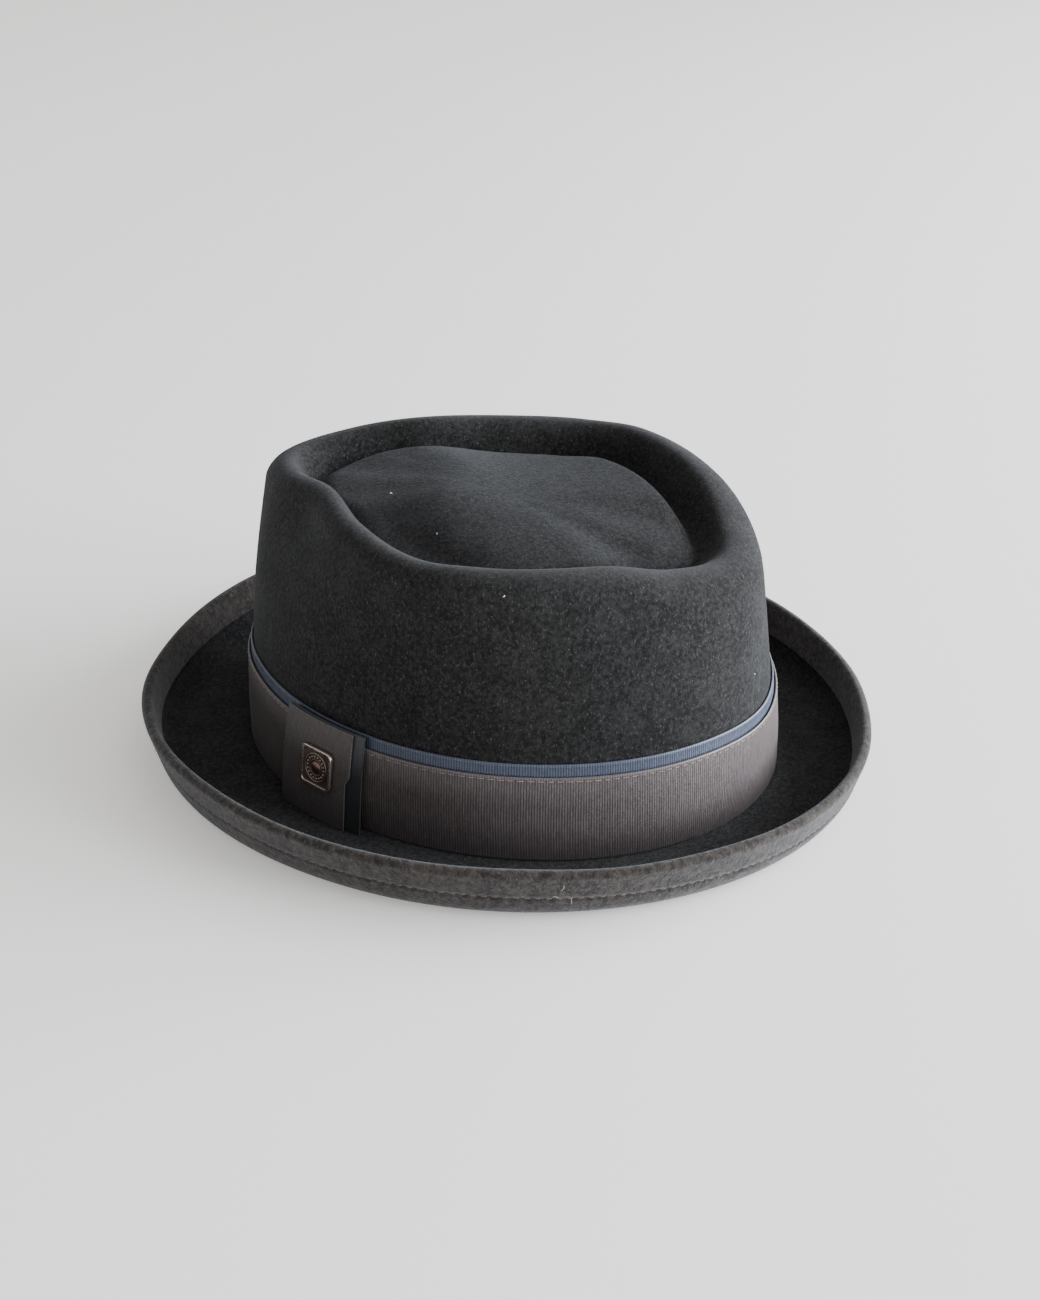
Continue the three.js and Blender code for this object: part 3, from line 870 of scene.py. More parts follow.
    def build(self) -> bpy.types.Object:
        """Builds the felt shell.

        Returns:
            The felt, with its smooth and its napped side in two material slots.
        """
        crown = self.crown_rows()
        smooth_rows = [*crown, *self.brim_top_rows()]
        napped_rows = [*self.welt_rows(), *self.underside_rows(), *self.inside_rows(crown)]
        rows = np.stack([*smooth_rows, *napped_rows])
        clear_selection()
        bpy.ops.mesh.primitive_uv_sphere_add(segments=self.columns, ring_count=len(rows) + 1, radius=1.0)
        piece = take_new("felt_shell")
        ball = coordinates(piece)
        latitude = np.degrees(np.arccos(np.clip(ball[:, 2], -1.0, 1.0)))
        ring = np.rint(latitude * (len(rows) + 1) / 180.0).astype(int)
        longitude = np.degrees(np.arctan2(ball[:, 1], ball[:, 0]))
        column = np.rint((longitude + 90.0) * self.columns / FULL_TURN).astype(int) % self.columns
        poles = np.array([rows[0].mean(axis=0), rows[-1].mean(axis=0)])
        places = rows[np.clip(ring - 1, 0, len(rows) - 1), column]
        places[ring == 0] = poles[0]
        places[ring == len(rows) + 1] = poles[1]
        set_coordinates(piece, places)
        crest_ring = self.centre_steps + self.rise_steps + self.fall_steps
        set_attribute(piece, "crest", np.exp(-(((ring - crest_ring) / self.crest_band) ** 2)))
        self.assign_sides(piece, ring, len(smooth_rows))
        return self.finish(piece)

    def assign_sides(self, piece: bpy.types.Object, ring: np.ndarray, smooth_count: int) -> None:
        """Puts the smooth felt on the first rows of the shell and the napped felt on the rest."""
        piece.data.materials.append(SMOOTH_FELT.material())
        piece.data.materials.append(NAPPED_FELT.material())
        corners = np.empty(len(piece.data.loops), dtype=np.int32)
        piece.data.loops.foreach_get("vertex_index", corners)
        starts = np.empty(len(piece.data.polygons), dtype=np.int32)
        piece.data.polygons.foreach_get("loop_start", starts)
        lowest = np.maximum.reduceat(ring[corners], starts)
        piece.data.polygons.foreach_set("material_index", (lowest > smooth_count).astype(np.int32))

    def finish(self, piece: bpy.types.Object) -> bpy.types.Object:
        """Shades the shell and hangs it on the frame."""
        smooth_faces(piece, 70.0)
        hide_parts("felt_body")
        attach(piece, BODY)
        return piece


@dataclass
class RibbonRing:
    """A grosgrain ribbon round the crown, with real ribs and a thicker woven edge above and below."""

    form: HatForm
    name: str
    node: str
    slot: Slot
    finish: RibbonFinish
    inner: float
    thickness: float
    foot: float
    width: float
    rib_count: int
    rib_height: float
    steps_in_rib: int = 4
    face_steps: int = 9
    back_steps: int = 5
    selvage: float = 0.9 * MM
    wave: float = 0.12 * MM

    def profile(self) -> list[tuple[float, float]]:
        """The ribbon's section as pairs of height share and depth share, outer face first, from the foot up."""
        heights = [0.012, 0.03, *np.linspace(0.08, 0.92, self.face_steps), 0.97, 0.988]
        outer = [(float(h), 1.0) for h in heights]
        inner = [(float(h), 0.0) for h in np.linspace(0.97, 0.03, self.back_steps)]
        return [*outer, (1.0, 0.7), (1.0, 0.3), *inner, (0.0, 0.3), (0.0, 0.7)]

    def build(self) -> bpy.types.Object:
        """Builds the ribbon from a grid, wrapped round the crown and closed along both seams.

        Returns:
            The finished ribbon.
        """
        section = self.profile()
        columns = self.rib_count * self.steps_in_rib
        clear_selection()
        bpy.ops.mesh.primitive_grid_add(x_subdivisions=columns, y_subdivisions=len(section), size=2.0)
        piece = take_new(self.name)
        grid = coordinates(piece)
        column = np.rint((grid[:, 0] + 1.0) / 2.0 * columns).astype(int) % columns
        row = np.rint((grid[:, 1] + 1.0) / 2.0 * len(section)).astype(int) % len(section)
        height = np.array([h for h, _ in section])[row]
        depth = np.array([d for _, d in section])[row]
        rib = 0.5 - 0.5 * np.cos(column * math.tau / self.steps_in_rib)
        set_coordinates(piece, self.place(column * FULL_TURN / columns, height, depth, rib))
        set_attribute(piece, "rib", rib)
        merge_seams(piece)
        piece.data.materials.append(self.finish.material())
        smooth_faces(piece, 80.0)
        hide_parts(self.node)
        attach(piece, BODY)
        return piece

    def place(self, turn: np.ndarray, height: np.ndarray, depth: np.ndarray, rib: np.ndarray) -> np.ndarray:
        """Where each vertex of the ribbon lies.

        Args:
            turn: Turn of each vertex.
            height: Share of the ribbon's width.
            depth: 0 on the inner face, 1 on the outer face.
            rib: Height of the rib, 0 in a gap and 1 on a rib.

        Returns:
            One place for each vertex.
        """
        t = np.radians(turn)
        edge = self.wave * (np.sin(5 * t + 0.6) + 0.7 * np.sin(11 * t + 2.0))
        z = self.foot + height * self.width + edge * (height - 0.3)
        from_edge = np.minimum(height, 1.0 - height) * self.width
        bead = 0.16 * MM * np.exp(-((from_edge / self.selvage) ** 2))
        belly = 0.12 * MM * np.sin(np.pi * height)
        outside = self.inner + depth * (self.thickness + bead + belly + self.rib_height * rib)
        inset = self.form.wall_inset(turn, z)
        return self.form.drifted(self.form.point(turn, outside - inset, z))


@dataclass
class RunningStitch:
    """A row of short stitches all round the hat, each a small bent thread."""

    form: HatForm
    name: str
    finish: ThreadFinish
    count: int
    fill: float
    radius: float
    steps: int = 5
    sides: int = 6

    def build(self, path: StitchPath) -> bpy.types.Object:
        """Builds every stitch along a path.

        Args:
            path: Gives the places of the thread's middle line and the way out of the cloth.

        Returns:
            The row of stitches as one piece.
        """
        step = FULL_TURN / self.count
        along = (shares(self.steps) - 0.5) * self.fill * step
        turn = (np.arange(self.count)[:, None] * step + along[None]).ravel()
        middle, out = path(turn)
        arch = np.sin(np.pi * shares(self.steps))
        sink = np.tile(arch - 0.8, self.count) * self.radius
        middle = middle + out * sink[:, None]
        forward = np.gradient(middle.reshape(self.count, self.steps + 1, 3), axis=1).reshape(-1, 3)
        forward /= np.linalg.norm(forward, axis=1, keepdims=True)
        side = np.cross(forward, out)
        thick = np.tile(0.35 + 0.65 * arch**0.5, self.count) * self.radius
        angle = np.arange(self.sides) * math.tau / self.sides
        ring = np.cos(angle)[None, :, None] * side[:, None] + np.sin(angle)[None, :, None] * out[:, None]
        places = (middle[:, None] + ring * thick[:, None, None]).reshape(-1, 3)
        piece = mesh_from_arrays(self.name, places, self.faces())
        piece.data.materials.append(self.finish.material())
        smooth_faces(piece, 80.0)
        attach(piece, BODY)
        return piece

    def faces(self) -> np.ndarray:
        """Triangles of all stitches."""
        one = tube_faces(self.steps, self.sides)
        size = (self.steps + 1) * self.sides
        return (one[None] + (np.arange(self.count) * size)[:, None, None]).reshape(-1, 3)


@dataclass
class Tab:
    """The flat upright tab on the wearer's left: a piece of both ribbons set over the band."""

    form: HatForm
    foot: float
    inner: float
    thickness: float = 0.7 * MM
    gap: float = 0.35 * MM
    rib_pitch: float = 0.9 * MM
    steps_in_rib: int = 4
    columns: int = 36
    rib_height: float = 0.035 * MM
    step_height: float = 22.0 * MM
    step_shift: float = 1.6 * MM
    tuck: float = 0.4 * MM

    def turn_at(self, distance: np.ndarray) -> np.ndarray:
        """Turn at a distance along the ribbons from the tab's middle line."""
        t = math.radians(self.form.tab_turn)
        stride = math.hypot(self.form.head_width / 2 * math.cos(t), self.form.head_length / 2 * math.sin(t))
        return self.form.tab_turn + np.degrees(distance / stride)

    def height(self) -> float:
        """Height of the tab from its foot to its folded top."""
        return self.form.trim_width + self.form.tab_rise

    def layer(self, name: str, node: str, finish: RibbonFinish, order: int, low: float, high: float,
              stepped: bool) -> bpy.types.Object:
        """Builds one layer of the tab from a grid.

        Args:
            name: The piece's name.
            node: The solid that it stands for.
            finish: Its ribbon finish.
            order: 0 for the layer next to the band, 1 for the one over it.
            low: Distance of its front edge from the tab's middle line.
            high: Distance of its back edge.
            stepped: Whether its back edge steps in half way down, as the folded end of the bow does.

        Returns:
            The finished layer.
        """
        height = self.height()
        ribs = round(height / self.rib_pitch)
        rows = ribs * self.steps_in_rib
        clear_selection()
        bpy.ops.mesh.primitive_grid_add(x_subdivisions=self.columns, y_subdivisions=rows, size=2.0)
        piece = take_new(name)
        grid = coordinates(piece)
        across = (grid[:, 0] + 1.0) / 2.0
        up = (grid[:, 1] + 1.0) / 2.0
        z = self.foot + up * height
        back_edge = high - self.step_shift * (1.0 - smooth_step(z, self.step_height - 2.0 * MM, self.step_height + 2.0 * MM))
        distance = low + across * ((back_edge if stepped else high) - low)
        phase = np.rint(up * rows) % self.steps_in_rib
        rib = 0.5 - 0.5 * np.cos(phase * math.tau / self.steps_in_rib)
        from_top = (1.0 - up) * height
        fold = np.clip(1.0 - from_top / self.tuck, 0.0, 1.0)
        outside = self.inner + order * (self.thickness + self.gap) + self.thickness
        outside = outside + self.rib_height * rib - fold**2 * self.tuck * 0.9 + self.form.tab_flare * (1.0 - up)
        turn = self.turn_at(distance)
        inset = self.form.wall_inset(turn, z)
        set_coordinates(piece, self.form.drifted(self.form.point(turn, outside - inset, z)))
        set_attribute(piece, "rib", rib)
        apply_modifier(piece, "SOLIDIFY", thickness=self.thickness, offset=-1.0)
        piece.data.materials.append(finish.material())
        smooth_faces(piece, 50.0)
        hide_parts(node)
        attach(piece, BODY)
        return piece

    def build(self) -> list[bpy.types.Object]:
        """Builds both layers: the slate one shows its edge behind the taupe one."""
        half = self.form.band_width / 2
        shown = self.form.trim_width - self.form.band_width
        # Both layers use darker copies of the ribbons' finishes: painted shade on the tab.
        under = self.layer(
            "tab_slate", "tab_trim", SHADED_SLATE_GROSGRAIN, 0, 0.2 * MM - half, half + shown, False,
        )
        over = self.layer("tab_taupe", "ribbon_tab", SHADED_TAUPE_GROSGRAIN, 1, -half, half, True)
        return [under, over]


@dataclass
class Badge:
    """The small cast badge: a rounded square with a border, two rings, a circle of beads and a plain dome."""

    form: HatForm
    tab: Tab
    side: float = 14.8 * MM
    corner: float = 2.2 * MM
    plate: float = 1.5 * MM
    border: float = 1.0 * MM
    recess: float = 0.55 * MM
    ring_radius: float = 5.2 * MM
    ring_wire: float = 0.32 * MM
    bead_circle: float = 4.1 * MM
    bead_radius: float = 0.42 * MM
    bead_count: int = 18
    inner_ring_radius: float = 3.0 * MM
    dome_radius: float = 2.3 * MM
    dome_height: float = 0.8 * MM
    seat: float = 0.1 * MM
    shift: float = 2.6 * MM
    rise: float = 2.0 * MM

    def plate_body(self) -> bpy.types.Object:
        """The plate with its raised border, cut from a cube."""
        clear_selection()
        bpy.ops.mesh.primitive_cube_add(size=1.0, location=(0.0, 0.0, self.plate / 2))
        piece = take_new("badge_plate")
        piece.scale = (self.side, self.side, self.plate)
        bake_place(piece)
        self.round_corners(piece)
        self.sink_face(piece)
        apply_modifier(piece, "BEVEL", width=0.16 * MM, segments=3, limit_method="ANGLE",
                       angle_limit=math.radians(50.0))
        return piece

    def round_corners(self, piece: bpy.types.Object) -> None:
        """Rounds the plate's four upright edges."""
        pick(piece)
        bpy.ops.object.mode_set(mode="EDIT")
        bpy.ops.mesh.select_mode(type="EDGE")
        bpy.ops.mesh.select_all(action="DESELECT")
        bpy.ops.object.mode_set(mode="OBJECT")
        for edge in piece.data.edges:
            a, b = (piece.data.vertices[i].co for i in edge.vertices)
            edge.select = abs(a.z - b.z) > self.plate / 2
        bpy.ops.object.mode_set(mode="EDIT")
        bpy.ops.mesh.bevel(offset=self.corner, segments=7, affect="EDGES")
        bpy.ops.object.mode_set(mode="OBJECT")

    def sink_face(self, piece: bpy.types.Object) -> None:
        """Insets the plate's face and sinks it inside the border."""
        pick(piece)
        bpy.ops.object.mode_set(mode="EDIT")
        bpy.ops.mesh.select_mode(type="FACE")
        bpy.ops.mesh.select_all(action="DESELECT")
        bpy.ops.object.mode_set(mode="OBJECT")
        for face in piece.data.polygons:
            face.select = face.normal.z > 0.9
        bpy.ops.object.mode_set(mode="EDIT")
        bpy.ops.mesh.inset(thickness=self.border, depth=0.0)
        bpy.ops.mesh.inset(thickness=0.12 * MM, depth=-self.recess)
        bpy.ops.object.mode_set(mode="OBJECT")

    def torus(self, radius: float, wire: float) -> bpy.types.Object:
        """A ring half sunk in the plate's face."""
        clear_selection()
        bpy.ops.mesh.primitive_torus_add(
            major_radius=radius, minor_radius=wire, major_segments=64, minor_segments=10,
            location=(0.0, 0.0, self.plate - self.recess),
        )
        piece = take_new("badge_ring")
        bake_place(piece)
        return piece

    def ball(self, radius: float, height: float, x: float, y: float) -> bpy.types.Object:
        """A flattened ball half sunk in the plate's face."""
        clear_selection()
        bpy.ops.mesh.primitive_uv_sphere_add(
            segments=24, ring_count=12, radius=radius, location=(x, y, self.plate - self.recess),
        )
        piece = take_new("badge_ball")
        piece.scale = (1.0, 1.0, height / radius)
        bake_place(piece)
        return piece

    def build(self) -> bpy.types.Object:
        """Builds the badge and seats it on the tab.

        Returns:
            The finished badge.
        """
        parts = [self.plate_body(), self.torus(self.ring_radius, self.ring_wire)]
        parts.append(self.torus(self.inner_ring_radius, self.ring_wire * 0.8))
        parts.append(self.ball(self.dome_radius, self.dome_height, 0.0, 0.0))
        for i in range(self.bead_count):
            angle = math.tau * i / self.bead_count
            x, y = self.bead_circle * math.cos(angle), self.bead_circle * math.sin(angle)
            parts.append(self.ball(self.bead_radius, self.bead_radius, x, y))
        piece = join_pieces(parts, "cast_badge")
        place = coordinates(piece)
        radius = np.hypot(place[:, 0], place[:, 1])
        set_attribute(piece, "relief", smooth_step(place[:, 2], self.plate - self.recess, self.plate))
        set_attribute(piece, "warmth", 0.85 * (1.0 - smooth_step(radius, 2.4 * MM, 2.8 * MM)))
        self.seat_on_tab(piece)
        piece.data.materials.append(ANTIQUE_METAL.material())
        smooth_faces(piece, 40.0)
        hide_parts("badge")
        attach(piece, BODY)
        return piece

    def seat_on_tab(self, piece: bpy.types.Object) -> None:
        """Turns the badge to face out of the leaning tab and moves it to its seat."""
        turn = self.tab.turn_at(np.array([self.shift]))
        height = self.tab.height()
        middle = height / 2 + self.rise
        low, seat, high = (
            self.face_point(turn, middle + step, height) for step in (-self.side / 2, 0.0, self.side / 2)
        )
        n = self.form.normal(turn)[0]
        across = Vector((-n[1], n[0], 0.0))
        up = (high - low).normalized()
        outward = across.cross(up)
        frame = Matrix((across, up, outward)).transposed().to_4x4()
        frame.translation = seat + outward * self.seat
        piece.matrix_world = frame
        bake_place(piece)

    def face_point(self, turn: np.ndarray, up: float, height: float) -> Vector:
        """A point of the tab's outer face, a distance above its foot."""
        outside = self.tab.inner + 2 * self.tab.thickness + self.tab.gap + self.tab.rib_height
        flare = self.form.tab_flare * (1.0 - up / height)
        return Vector(self.form.wall_point(turn, np.array([self.tab.foot + up]), outside + flare)[0])


@dataclass
class Hairs:
    """Loose wool fibres that stand out of the felt, as joined bent spikes."""

    name: str
    finish: ThreadFinish
    count: int
    length: tuple[float, float]
    radius: float
    lean: float
    bent: bool
    seed: int

    def build(self, felt: bpy.types.Object, material_index: int, lowest: float) -> bpy.types.Object:
        """Plants the fibres on one side of the felt.

        Args:
            felt: The felt shell.
            material_index: The shell's material slot that the fibres grow on.
            lowest: Fibres start only above this height.

        Returns:
            All fibres as one piece.
        """
        rng = np.random.default_rng(self.seed)
        root, out = self.roots(felt, material_index, lowest, rng)
        way = rng.normal(size=root.shape)
        way = out + self.lean * way
        way /= np.linalg.norm(way, axis=1, keepdims=True)
        side = np.cross(way, rng.normal(size=root.shape))
        side /= np.linalg.norm(side, axis=1, keepdims=True)
        other = np.cross(way, side)
        length = rng.uniform(*self.length, size=(len(root), 1)) * rng.uniform(0.4, 1.0, size=(len(root), 1))
        start = root - out * 0.1 * MM
        angle = np.arange(3) * math.tau / 3
        ring = np.cos(angle)[:, None, None] * side[None] + np.sin(angle)[:, None, None] * other[None]
        base = start[None] + ring * self.radius
        if not self.bent:
            tip = (start + way * length)[None]
            return self.piece(np.concatenate([base, tip]), [(0, 2, 1), (0, 1, 3), (1, 2, 3), (2, 0, 3)])
        bend = side * length * rng.uniform(0.1, 0.45, size=length.shape)
        half = (start + way * length * 0.55)[None] + ring * self.radius * 0.8
        tip = (start + way * length * 0.85 + bend)[None]
        faces = [(0, 2, 1)]
        for i, k in ((0, 1), (1, 2), (2, 0)):
            faces += [(i, k, k + 3), (i, k + 3, i + 3), (i + 3, k + 3, 6)]
        return self.piece(np.concatenate([base, half, tip]), faces)

    def roots(self, felt: bpy.types.Object, material_index: int, lowest: float,
              rng: np.random.Generator) -> tuple[np.ndarray, np.ndarray]:
        """Random places on the felt, evenly spread by area, and the way out of it there."""
        polygons = felt.data.polygons
        area, slot = np.empty(len(polygons)), np.empty(len(polygons), dtype=np.int32)
        centre, normal = np.empty(len(polygons) * 3), np.empty(len(polygons) * 3)
        for key, array in (("area", area), ("material_index", slot), ("center", centre), ("normal", normal)):
            polygons.foreach_get(key, array)
        centre, normal = centre.reshape(-1, 3), normal.reshape(-1, 3)
        inside = (np.hypot(centre[:, 0], centre[:, 1]) < 97.0 * MM) & (normal[:, 2] < 0.2) & (slot == 1)
        weight = area * (slot == material_index) * (centre[:, 2] > lowest) * ~inside
        chosen = rng.choice(len(area), size=self.count, p=weight / weight.sum())
        spread = rng.normal(size=(self.count, 3)) * np.sqrt(area[chosen])[:, None] * 0.4
        out = normal[chosen]
        spread -= out * (spread * out).sum(axis=1, keepdims=True)
        return centre[chosen] + spread, out

    def piece(self, corners: np.ndarray, faces: list[tuple[int, int, int]]) -> bpy.types.Object:
        """Joins all fibres into one piece.

        Args:
            corners: The places of each fibre's corners, corner by corner.
            faces: The triangles of one fibre.

        Returns:
            The finished piece.
        """
        size, count = corners.shape[:2]
        places = corners.transpose(1, 0, 2).reshape(-1, 3)
        all_faces = (np.array(faces)[None] + (np.arange(count) * size)[:, None, None]).reshape(-1, 3)
        piece = mesh_from_arrays(self.name, places, all_faces)
        piece.data.materials.append(self.finish.material())
        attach(piece, BODY)
        return piece


@dataclass(frozen=True)
class LintSpot:
    """A bit of lint: where it shows in the photo's frame and how long, thick and curled it is."""

    pixel: tuple[float, float]
    length: float
    radius: float
    curl: float
    heading: float


LINT_SPOTS = (
    LintSpot(pixel=(391.0, 494.0), length=1.1 * MM, radius=0.24 * MM, curl=1.2, heading=10.0),
    LintSpot(pixel=(437.0, 534.0), length=0.7 * MM, radius=0.18 * MM, curl=1.0, heading=80.0),
    LintSpot(pixel=(504.0, 596.0), length=0.9 * MM, radius=0.2 * MM, curl=1.6, heading=30.0),
    LintSpot(pixel=(754.0, 674.0), length=0.7 * MM, radius=0.17 * MM, curl=1.0, heading=120.0),
    LintSpot(pixel=(563.0, 888.0), length=3.2 * MM, radius=0.06 * MM, curl=1.4, heading=65.0),
    LintSpot(pixel=(556.0, 897.0), length=2.6 * MM, radius=0.06 * MM, curl=-2.0, heading=-15.0),
    LintSpot(pixel=(571.0, 900.0), length=3.0 * MM, radius=0.055 * MM, curl=1.2, heading=100.0),
    LintSpot(pixel=(799.0, 846.0), length=2.8 * MM, radius=0.06 * MM, curl=0.9, heading=60.0),
)


@dataclass
class Lint:
    """Bits of pale lint that lie on the felt where the photo shows them."""

    view: PhotoView
    name: str = "white_lint"
    steps: int = 14
    sides: int = 6

    def strand(self, spot: LintSpot, seat: Vector, out: Vector) -> tuple[np.ndarray, np.ndarray]:
        """One curled strand that lies on the felt.

        Args:
            spot: The strand's size and curl.
            seat: Its middle, on the felt.
            out: The way out of the felt there.

        Returns:
            Its vertices and its triangles.
        """
        right = self.view.axes()[0]
        ahead = Matrix.Rotation(math.radians(spot.heading), 3, out) @ (right - out * right.dot(out)).normalized()
        aside = out.cross(ahead)
        t = shares(self.steps) - 0.5
        bearing = spot.curl * t
        step = spot.length / self.steps
        along = np.cumsum(np.cos(bearing)) * step
        across = np.cumsum(np.sin(bearing)) * step
        along, across = along - along.mean(), across - across.mean()
        lift = spot.radius * (0.6 + 1.5 * np.cos(3.0 * t) ** 2)
        ahead, aside, up = (np.array(axis) for axis in (ahead, aside, out))
        middle = np.array(seat) + along[:, None] * ahead + across[:, None] * aside + lift[:, None] * up
        forward = np.cos(bearing)[:, None] * ahead + np.sin(bearing)[:, None] * aside
        side = np.cross(forward, up)
        angle = np.arange(self.sides) * math.tau / self.sides
        thick = (spot.radius * (0.25 + 0.75 * np.sin(np.pi * shares(self.steps)) ** 0.5))[:, None, None]
        ring = np.cos(angle)[None, :, None] * side[:, None] + np.sin(angle)[None, :, None] * up
        places = (middle[:, None] + ring * thick).reshape(-1, 3)
        return places, tube_faces(self.steps, self.sides)

    def build(self, felt: bpy.types.Object) -> bpy.types.Object:
        """Lays every strand on the felt.

        Args:
            felt: The felt shell that the view lines meet.

        Returns:
            All strands as one piece.
        """
        tree = BVHTree.FromObject(felt, bpy.context.evaluated_depsgraph_get())
        places, faces, count = [], [], 0
        for spot in LINT_SPOTS:
            seat, out, _, _ = tree.ray_cast(*self.view.ray(spot.pixel))
            strand, triangles = self.strand(spot, seat, out)
            places.append(strand)
            faces.append(triangles + count)
            count += len(strand)
        piece = mesh_from_arrays(self.name, np.concatenate(places), np.concatenate(faces))
        piece.data.materials.append(WHITE_LINT.material())
        smooth_faces(piece, 80.0)
        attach(piece, BODY)
        return piece


@dataclass(frozen=True)
class PhotoView:
    """The photograph's camera, found from the hat's own outlines. Pixels count in a 1040 by 1300 frame."""

    width: int = 1040
    height: int = 1300
    azimuth: float = 117.0
    elevation: float = 29.2
    roll: float = -0.74
    focal_pixels: float = 1874.0
    distance: float = 706.0 * MM
    aim_height: float = 35.2 * MM
    aim_right: float = 4.9 * MM
    sensor: float = 36.0

    def axes(self) -> tuple[Vector, Vector, Vector]:
        """Right, up and backward directions of the camera before its roll."""
        az, el = math.radians(self.azimuth), math.radians(self.elevation)
        back = Vector((math.sin(az) * math.cos(el), -math.cos(az) * math.cos(el), math.sin(el)))
        right = Vector((math.cos(az), math.sin(az), 0.0))
        return right, back.cross(right), back

    def matrix(self) -> Matrix:
        """The camera's place in the hat's frame."""
        right, up, back = self.axes()
        turn = Matrix.Rotation(math.radians(self.roll), 4, "Z")
        frame = Matrix((right, up, back)).transposed().to_4x4() @ turn
        frame.translation = Vector((0.0, 0.0, self.aim_height)) + self.aim_right * right + self.distance * back
        return frame

    def build(self) -> bpy.types.Object:
        """Adds the camera and makes it the scene's own."""
        clear_selection()
        bpy.ops.object.camera_add()
        camera = bpy.context.object
        camera.name = "photo_camera"
        camera.matrix_world = self.matrix()
        camera.data.sensor_fit = "HORIZONTAL"
        camera.data.sensor_width = self.sensor
        camera.data.lens = self.focal_pixels / self.width * self.sensor
        camera.data.clip_start = 0.01
        bpy.context.scene.camera = camera
        return camera

    def ray(self, pixel: tuple[float, float]) -> tuple[Vector, Vector]:
        """Origin and direction of the view line through a pixel."""
        frame = self.matrix()
        x = (pixel[0] - self.width / 2) / self.focal_pixels
        y = (self.height / 2 - pixel[1]) / self.focal_pixels
        direction = (frame.to_3x3() @ Vector((x, y, -1.0))).normalized()
        return frame.translation, direction


@dataclass
class Studio:
    """A plain white table in soft light, brightest from the right and a little behind."""

    view: PhotoView
    floor_size: float = 30.0
    floor_glow: float = 0.35
    room_dim: float = 0.34
    room_bright: float = 1.5
    room_edge: float = -0.15
    window_power: float = 148.0
    window_width: float = 2.4
    window_height: float = 1.1
    window_distance: float = 1.9
    window_behind: float = 0.0
    window_above: float = 0.33

    def build(self) -> None:
        """Adds the table top, the surrounding light and the window light."""
        clear_selection()
        bpy.ops.mesh.primitive_plane_add(size=self.floor_size)
        floor = take_new("table_top")
        kit = NodeKit("white_table")
        kit.colour(kit.mix(kit.noise(2.0), (0.86, 0.855, 0.845), (0.9, 0.895, 0.885)))
        kit.set(Roughness=0.7, Emission_Color=(1.0, 0.99, 0.97, 1.0), Emission_Strength=self.floor_glow)
        floor.data.materials.append(kit.material)
        self.room()
        self.window()

    def way(self) -> Vector:
        """Direction from the hat to the window."""
        right, _, back = self.view.axes()
        level = right - back * self.window_behind
        return Vector((level.x, level.y, self.window_above)).normalized()

    def room(self) -> None:
        """Light from all round, rising from the dim side of the room to the bright one."""
        world = bpy.data.worlds.new("white_room")
        world.use_nodes = True
        tree = world.node_tree
        background = next(n for n in tree.nodes if n.type == "BACKGROUND")
        background.inputs["Color"].default_value = (1.0, 0.985, 0.96, 1.0)
        place = tree.nodes.new("ShaderNodeTexCoord")
        share = tree.nodes.new("ShaderNodeVectorMath")
        share.operation = "DOT_PRODUCT"
        share.inputs[1].default_value = self.way()
        strength = tree.nodes.new("ShaderNodeMapRange")
        strength.inputs["From Min"].default_value = self.room_edge
        strength.inputs["From Max"].default_value = 1.0
        strength.inputs["To Min"].default_value = self.room_dim
        strength.inputs["To Max"].default_value = self.room_bright
        tree.links.new(place.outputs["Generated"], share.inputs[0])
        tree.links.new(share.outputs["Value"], strength.inputs["Value"])
        tree.links.new(strength.outputs["Result"], background.inputs["Strength"])
        bpy.context.scene.world = world

    def window(self) -> None:
        """The large window light."""
        way = self.way()
        clear_selection()
        bpy.ops.object.light_add(type="AREA", location=way * self.window_distance)
        light = bpy.context.object
        light.name = "window_light"
        light.data.shape = "RECTANGLE"
        light.data.size = self.window_width
        light.data.size_y = self.window_height
        light.data.energy = self.window_power
        light.data.color = (0.92, 0.955, 1.0)
        light.rotation_euler = way.to_track_quat("Z", "Y").to_euler()


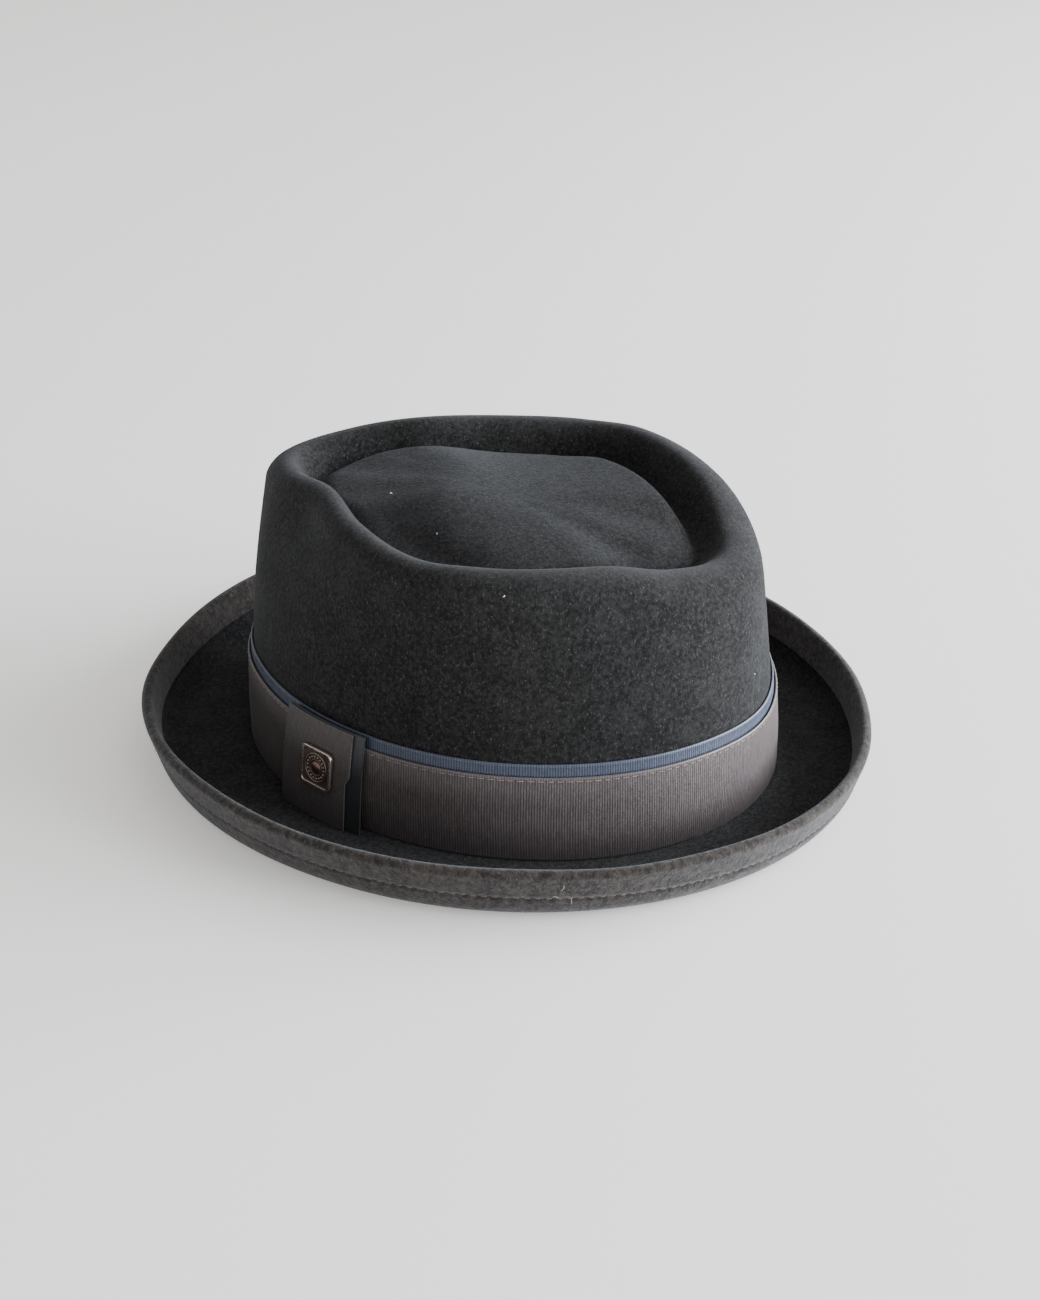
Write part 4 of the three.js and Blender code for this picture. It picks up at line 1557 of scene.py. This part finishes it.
class HatMaker:
    """Builds the hat's pieces in order and reports each one."""

    def __init__(self) -> None:
        """Sets the sizes that the pieces share."""
        self.form = HatForm()
        self.view = PhotoView()
        self.foot = self.form.felt + 0.15 * MM
        self.trim_inner = 0.3 * MM
        self.trim_thickness = 0.6 * MM
        self.band_inner = 1.4 * MM
        self.band_thickness = 0.65 * MM
        self.tab_inner = 2.8 * MM

    def report(self, piece: bpy.types.Object) -> None:
        """Logs a finished piece and its triangles."""
        piece.data.calc_loop_triangles()
        LOG.info("%s: %d triangles", piece.name, len(piece.data.loop_triangles))

    def ribbons(self) -> None:
        """Builds both ribbons round the crown and the fine stitch row of the upper one."""
        trim = RibbonRing(
            self.form, "slate_trim", "trim_ribbon", Slot.SLATE, SLATE_GROSGRAIN, inner=self.trim_inner,
            thickness=self.trim_thickness, foot=self.foot, width=self.form.trim_width, rib_count=660,
            rib_height=0.11 * MM,
        )
        band = RibbonRing(
            self.form, "taupe_band", "band_ribbon", Slot.TAUPE, TAUPE_GROSGRAIN, inner=self.band_inner,
            thickness=self.band_thickness, foot=self.foot, width=self.form.band_width, rib_count=664,
            rib_height=0.09 * MM,
        )
        self.report(trim.build())
        self.report(band.build())
        height = self.foot + self.form.band_width - 1.3 * MM
        outside = self.band_inner + self.band_thickness + 0.2 * MM

        def path(turn: np.ndarray) -> tuple[np.ndarray, np.ndarray]:
            """The stitch line just under the band's upper edge."""
            return self.form.wall_point(turn, np.full_like(turn, height), outside), self.form.normal(turn)

        stitches = RunningStitch(self.form, "band_stitches", ROSY_THREAD, count=185, fill=0.8, radius=0.14 * MM)
        piece = stitches.build(path)
        self.report(piece)

    def welt_stitches(self, shell: FeltShell) -> None:
        """Builds the stitch row that holds the turned-over edge, on the outside of the lip."""

        def path(turn: np.ndarray) -> tuple[np.ndarray, np.ndarray]:
            """The middle of the groove under the lip."""
            layers = shell.groove_depth / self.form.felt
            place = self.form.brim_point(turn, Stretch.WALL, -shell.stitch_depth, layers)
            deeper = self.form.brim_point(turn, Stretch.WALL, -shell.stitch_depth, layers + 1.0)
            out = place - deeper
            return place, out / np.linalg.norm(out, axis=1, keepdims=True)

        stitches = RunningStitch(self.form, "welt_stitches", PALE_THREAD, count=230, fill=0.78, radius=0.26 * MM)
        piece = stitches.build(path)
        self.report(piece)

    def build(self) -> None:
        """Builds the whole hat."""
        shell = FeltShell(self.form)
        felt = shell.build()
        self.report(felt)
        self.ribbons()
        self.welt_stitches(shell)
        tab = Tab(self.form, foot=self.foot, inner=self.tab_inner)
        for piece in tab.build():
            self.report(piece)
        self.report(Badge(self.form, tab).build())
        bloom = Hairs("felt_bloom", DARK_HAIR, 45000, (0.25 * MM, 0.8 * MM), 0.016 * MM, 0.9, False, seed=3)
        self.report(bloom.build(felt, 0, 3.0 * MM))
        nap = Hairs("felt_nap", NAP_HAIR, 19000, (0.5 * MM, 1.7 * MM), 0.018 * MM, 0.8, True, seed=5)
        self.report(nap.build(felt, 1, 1.0 * MM))
        self.report(Lint(self.view).build(felt))


def main() -> None:
    """Loads the frame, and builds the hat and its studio."""
    logging.basicConfig(level=logging.INFO, format="%(name)s: %(message)s")
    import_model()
    maker = HatMaker()
    maker.build()
    Studio(maker.view).build()
    maker.view.build()


if __name__ == "__main__":
    main()
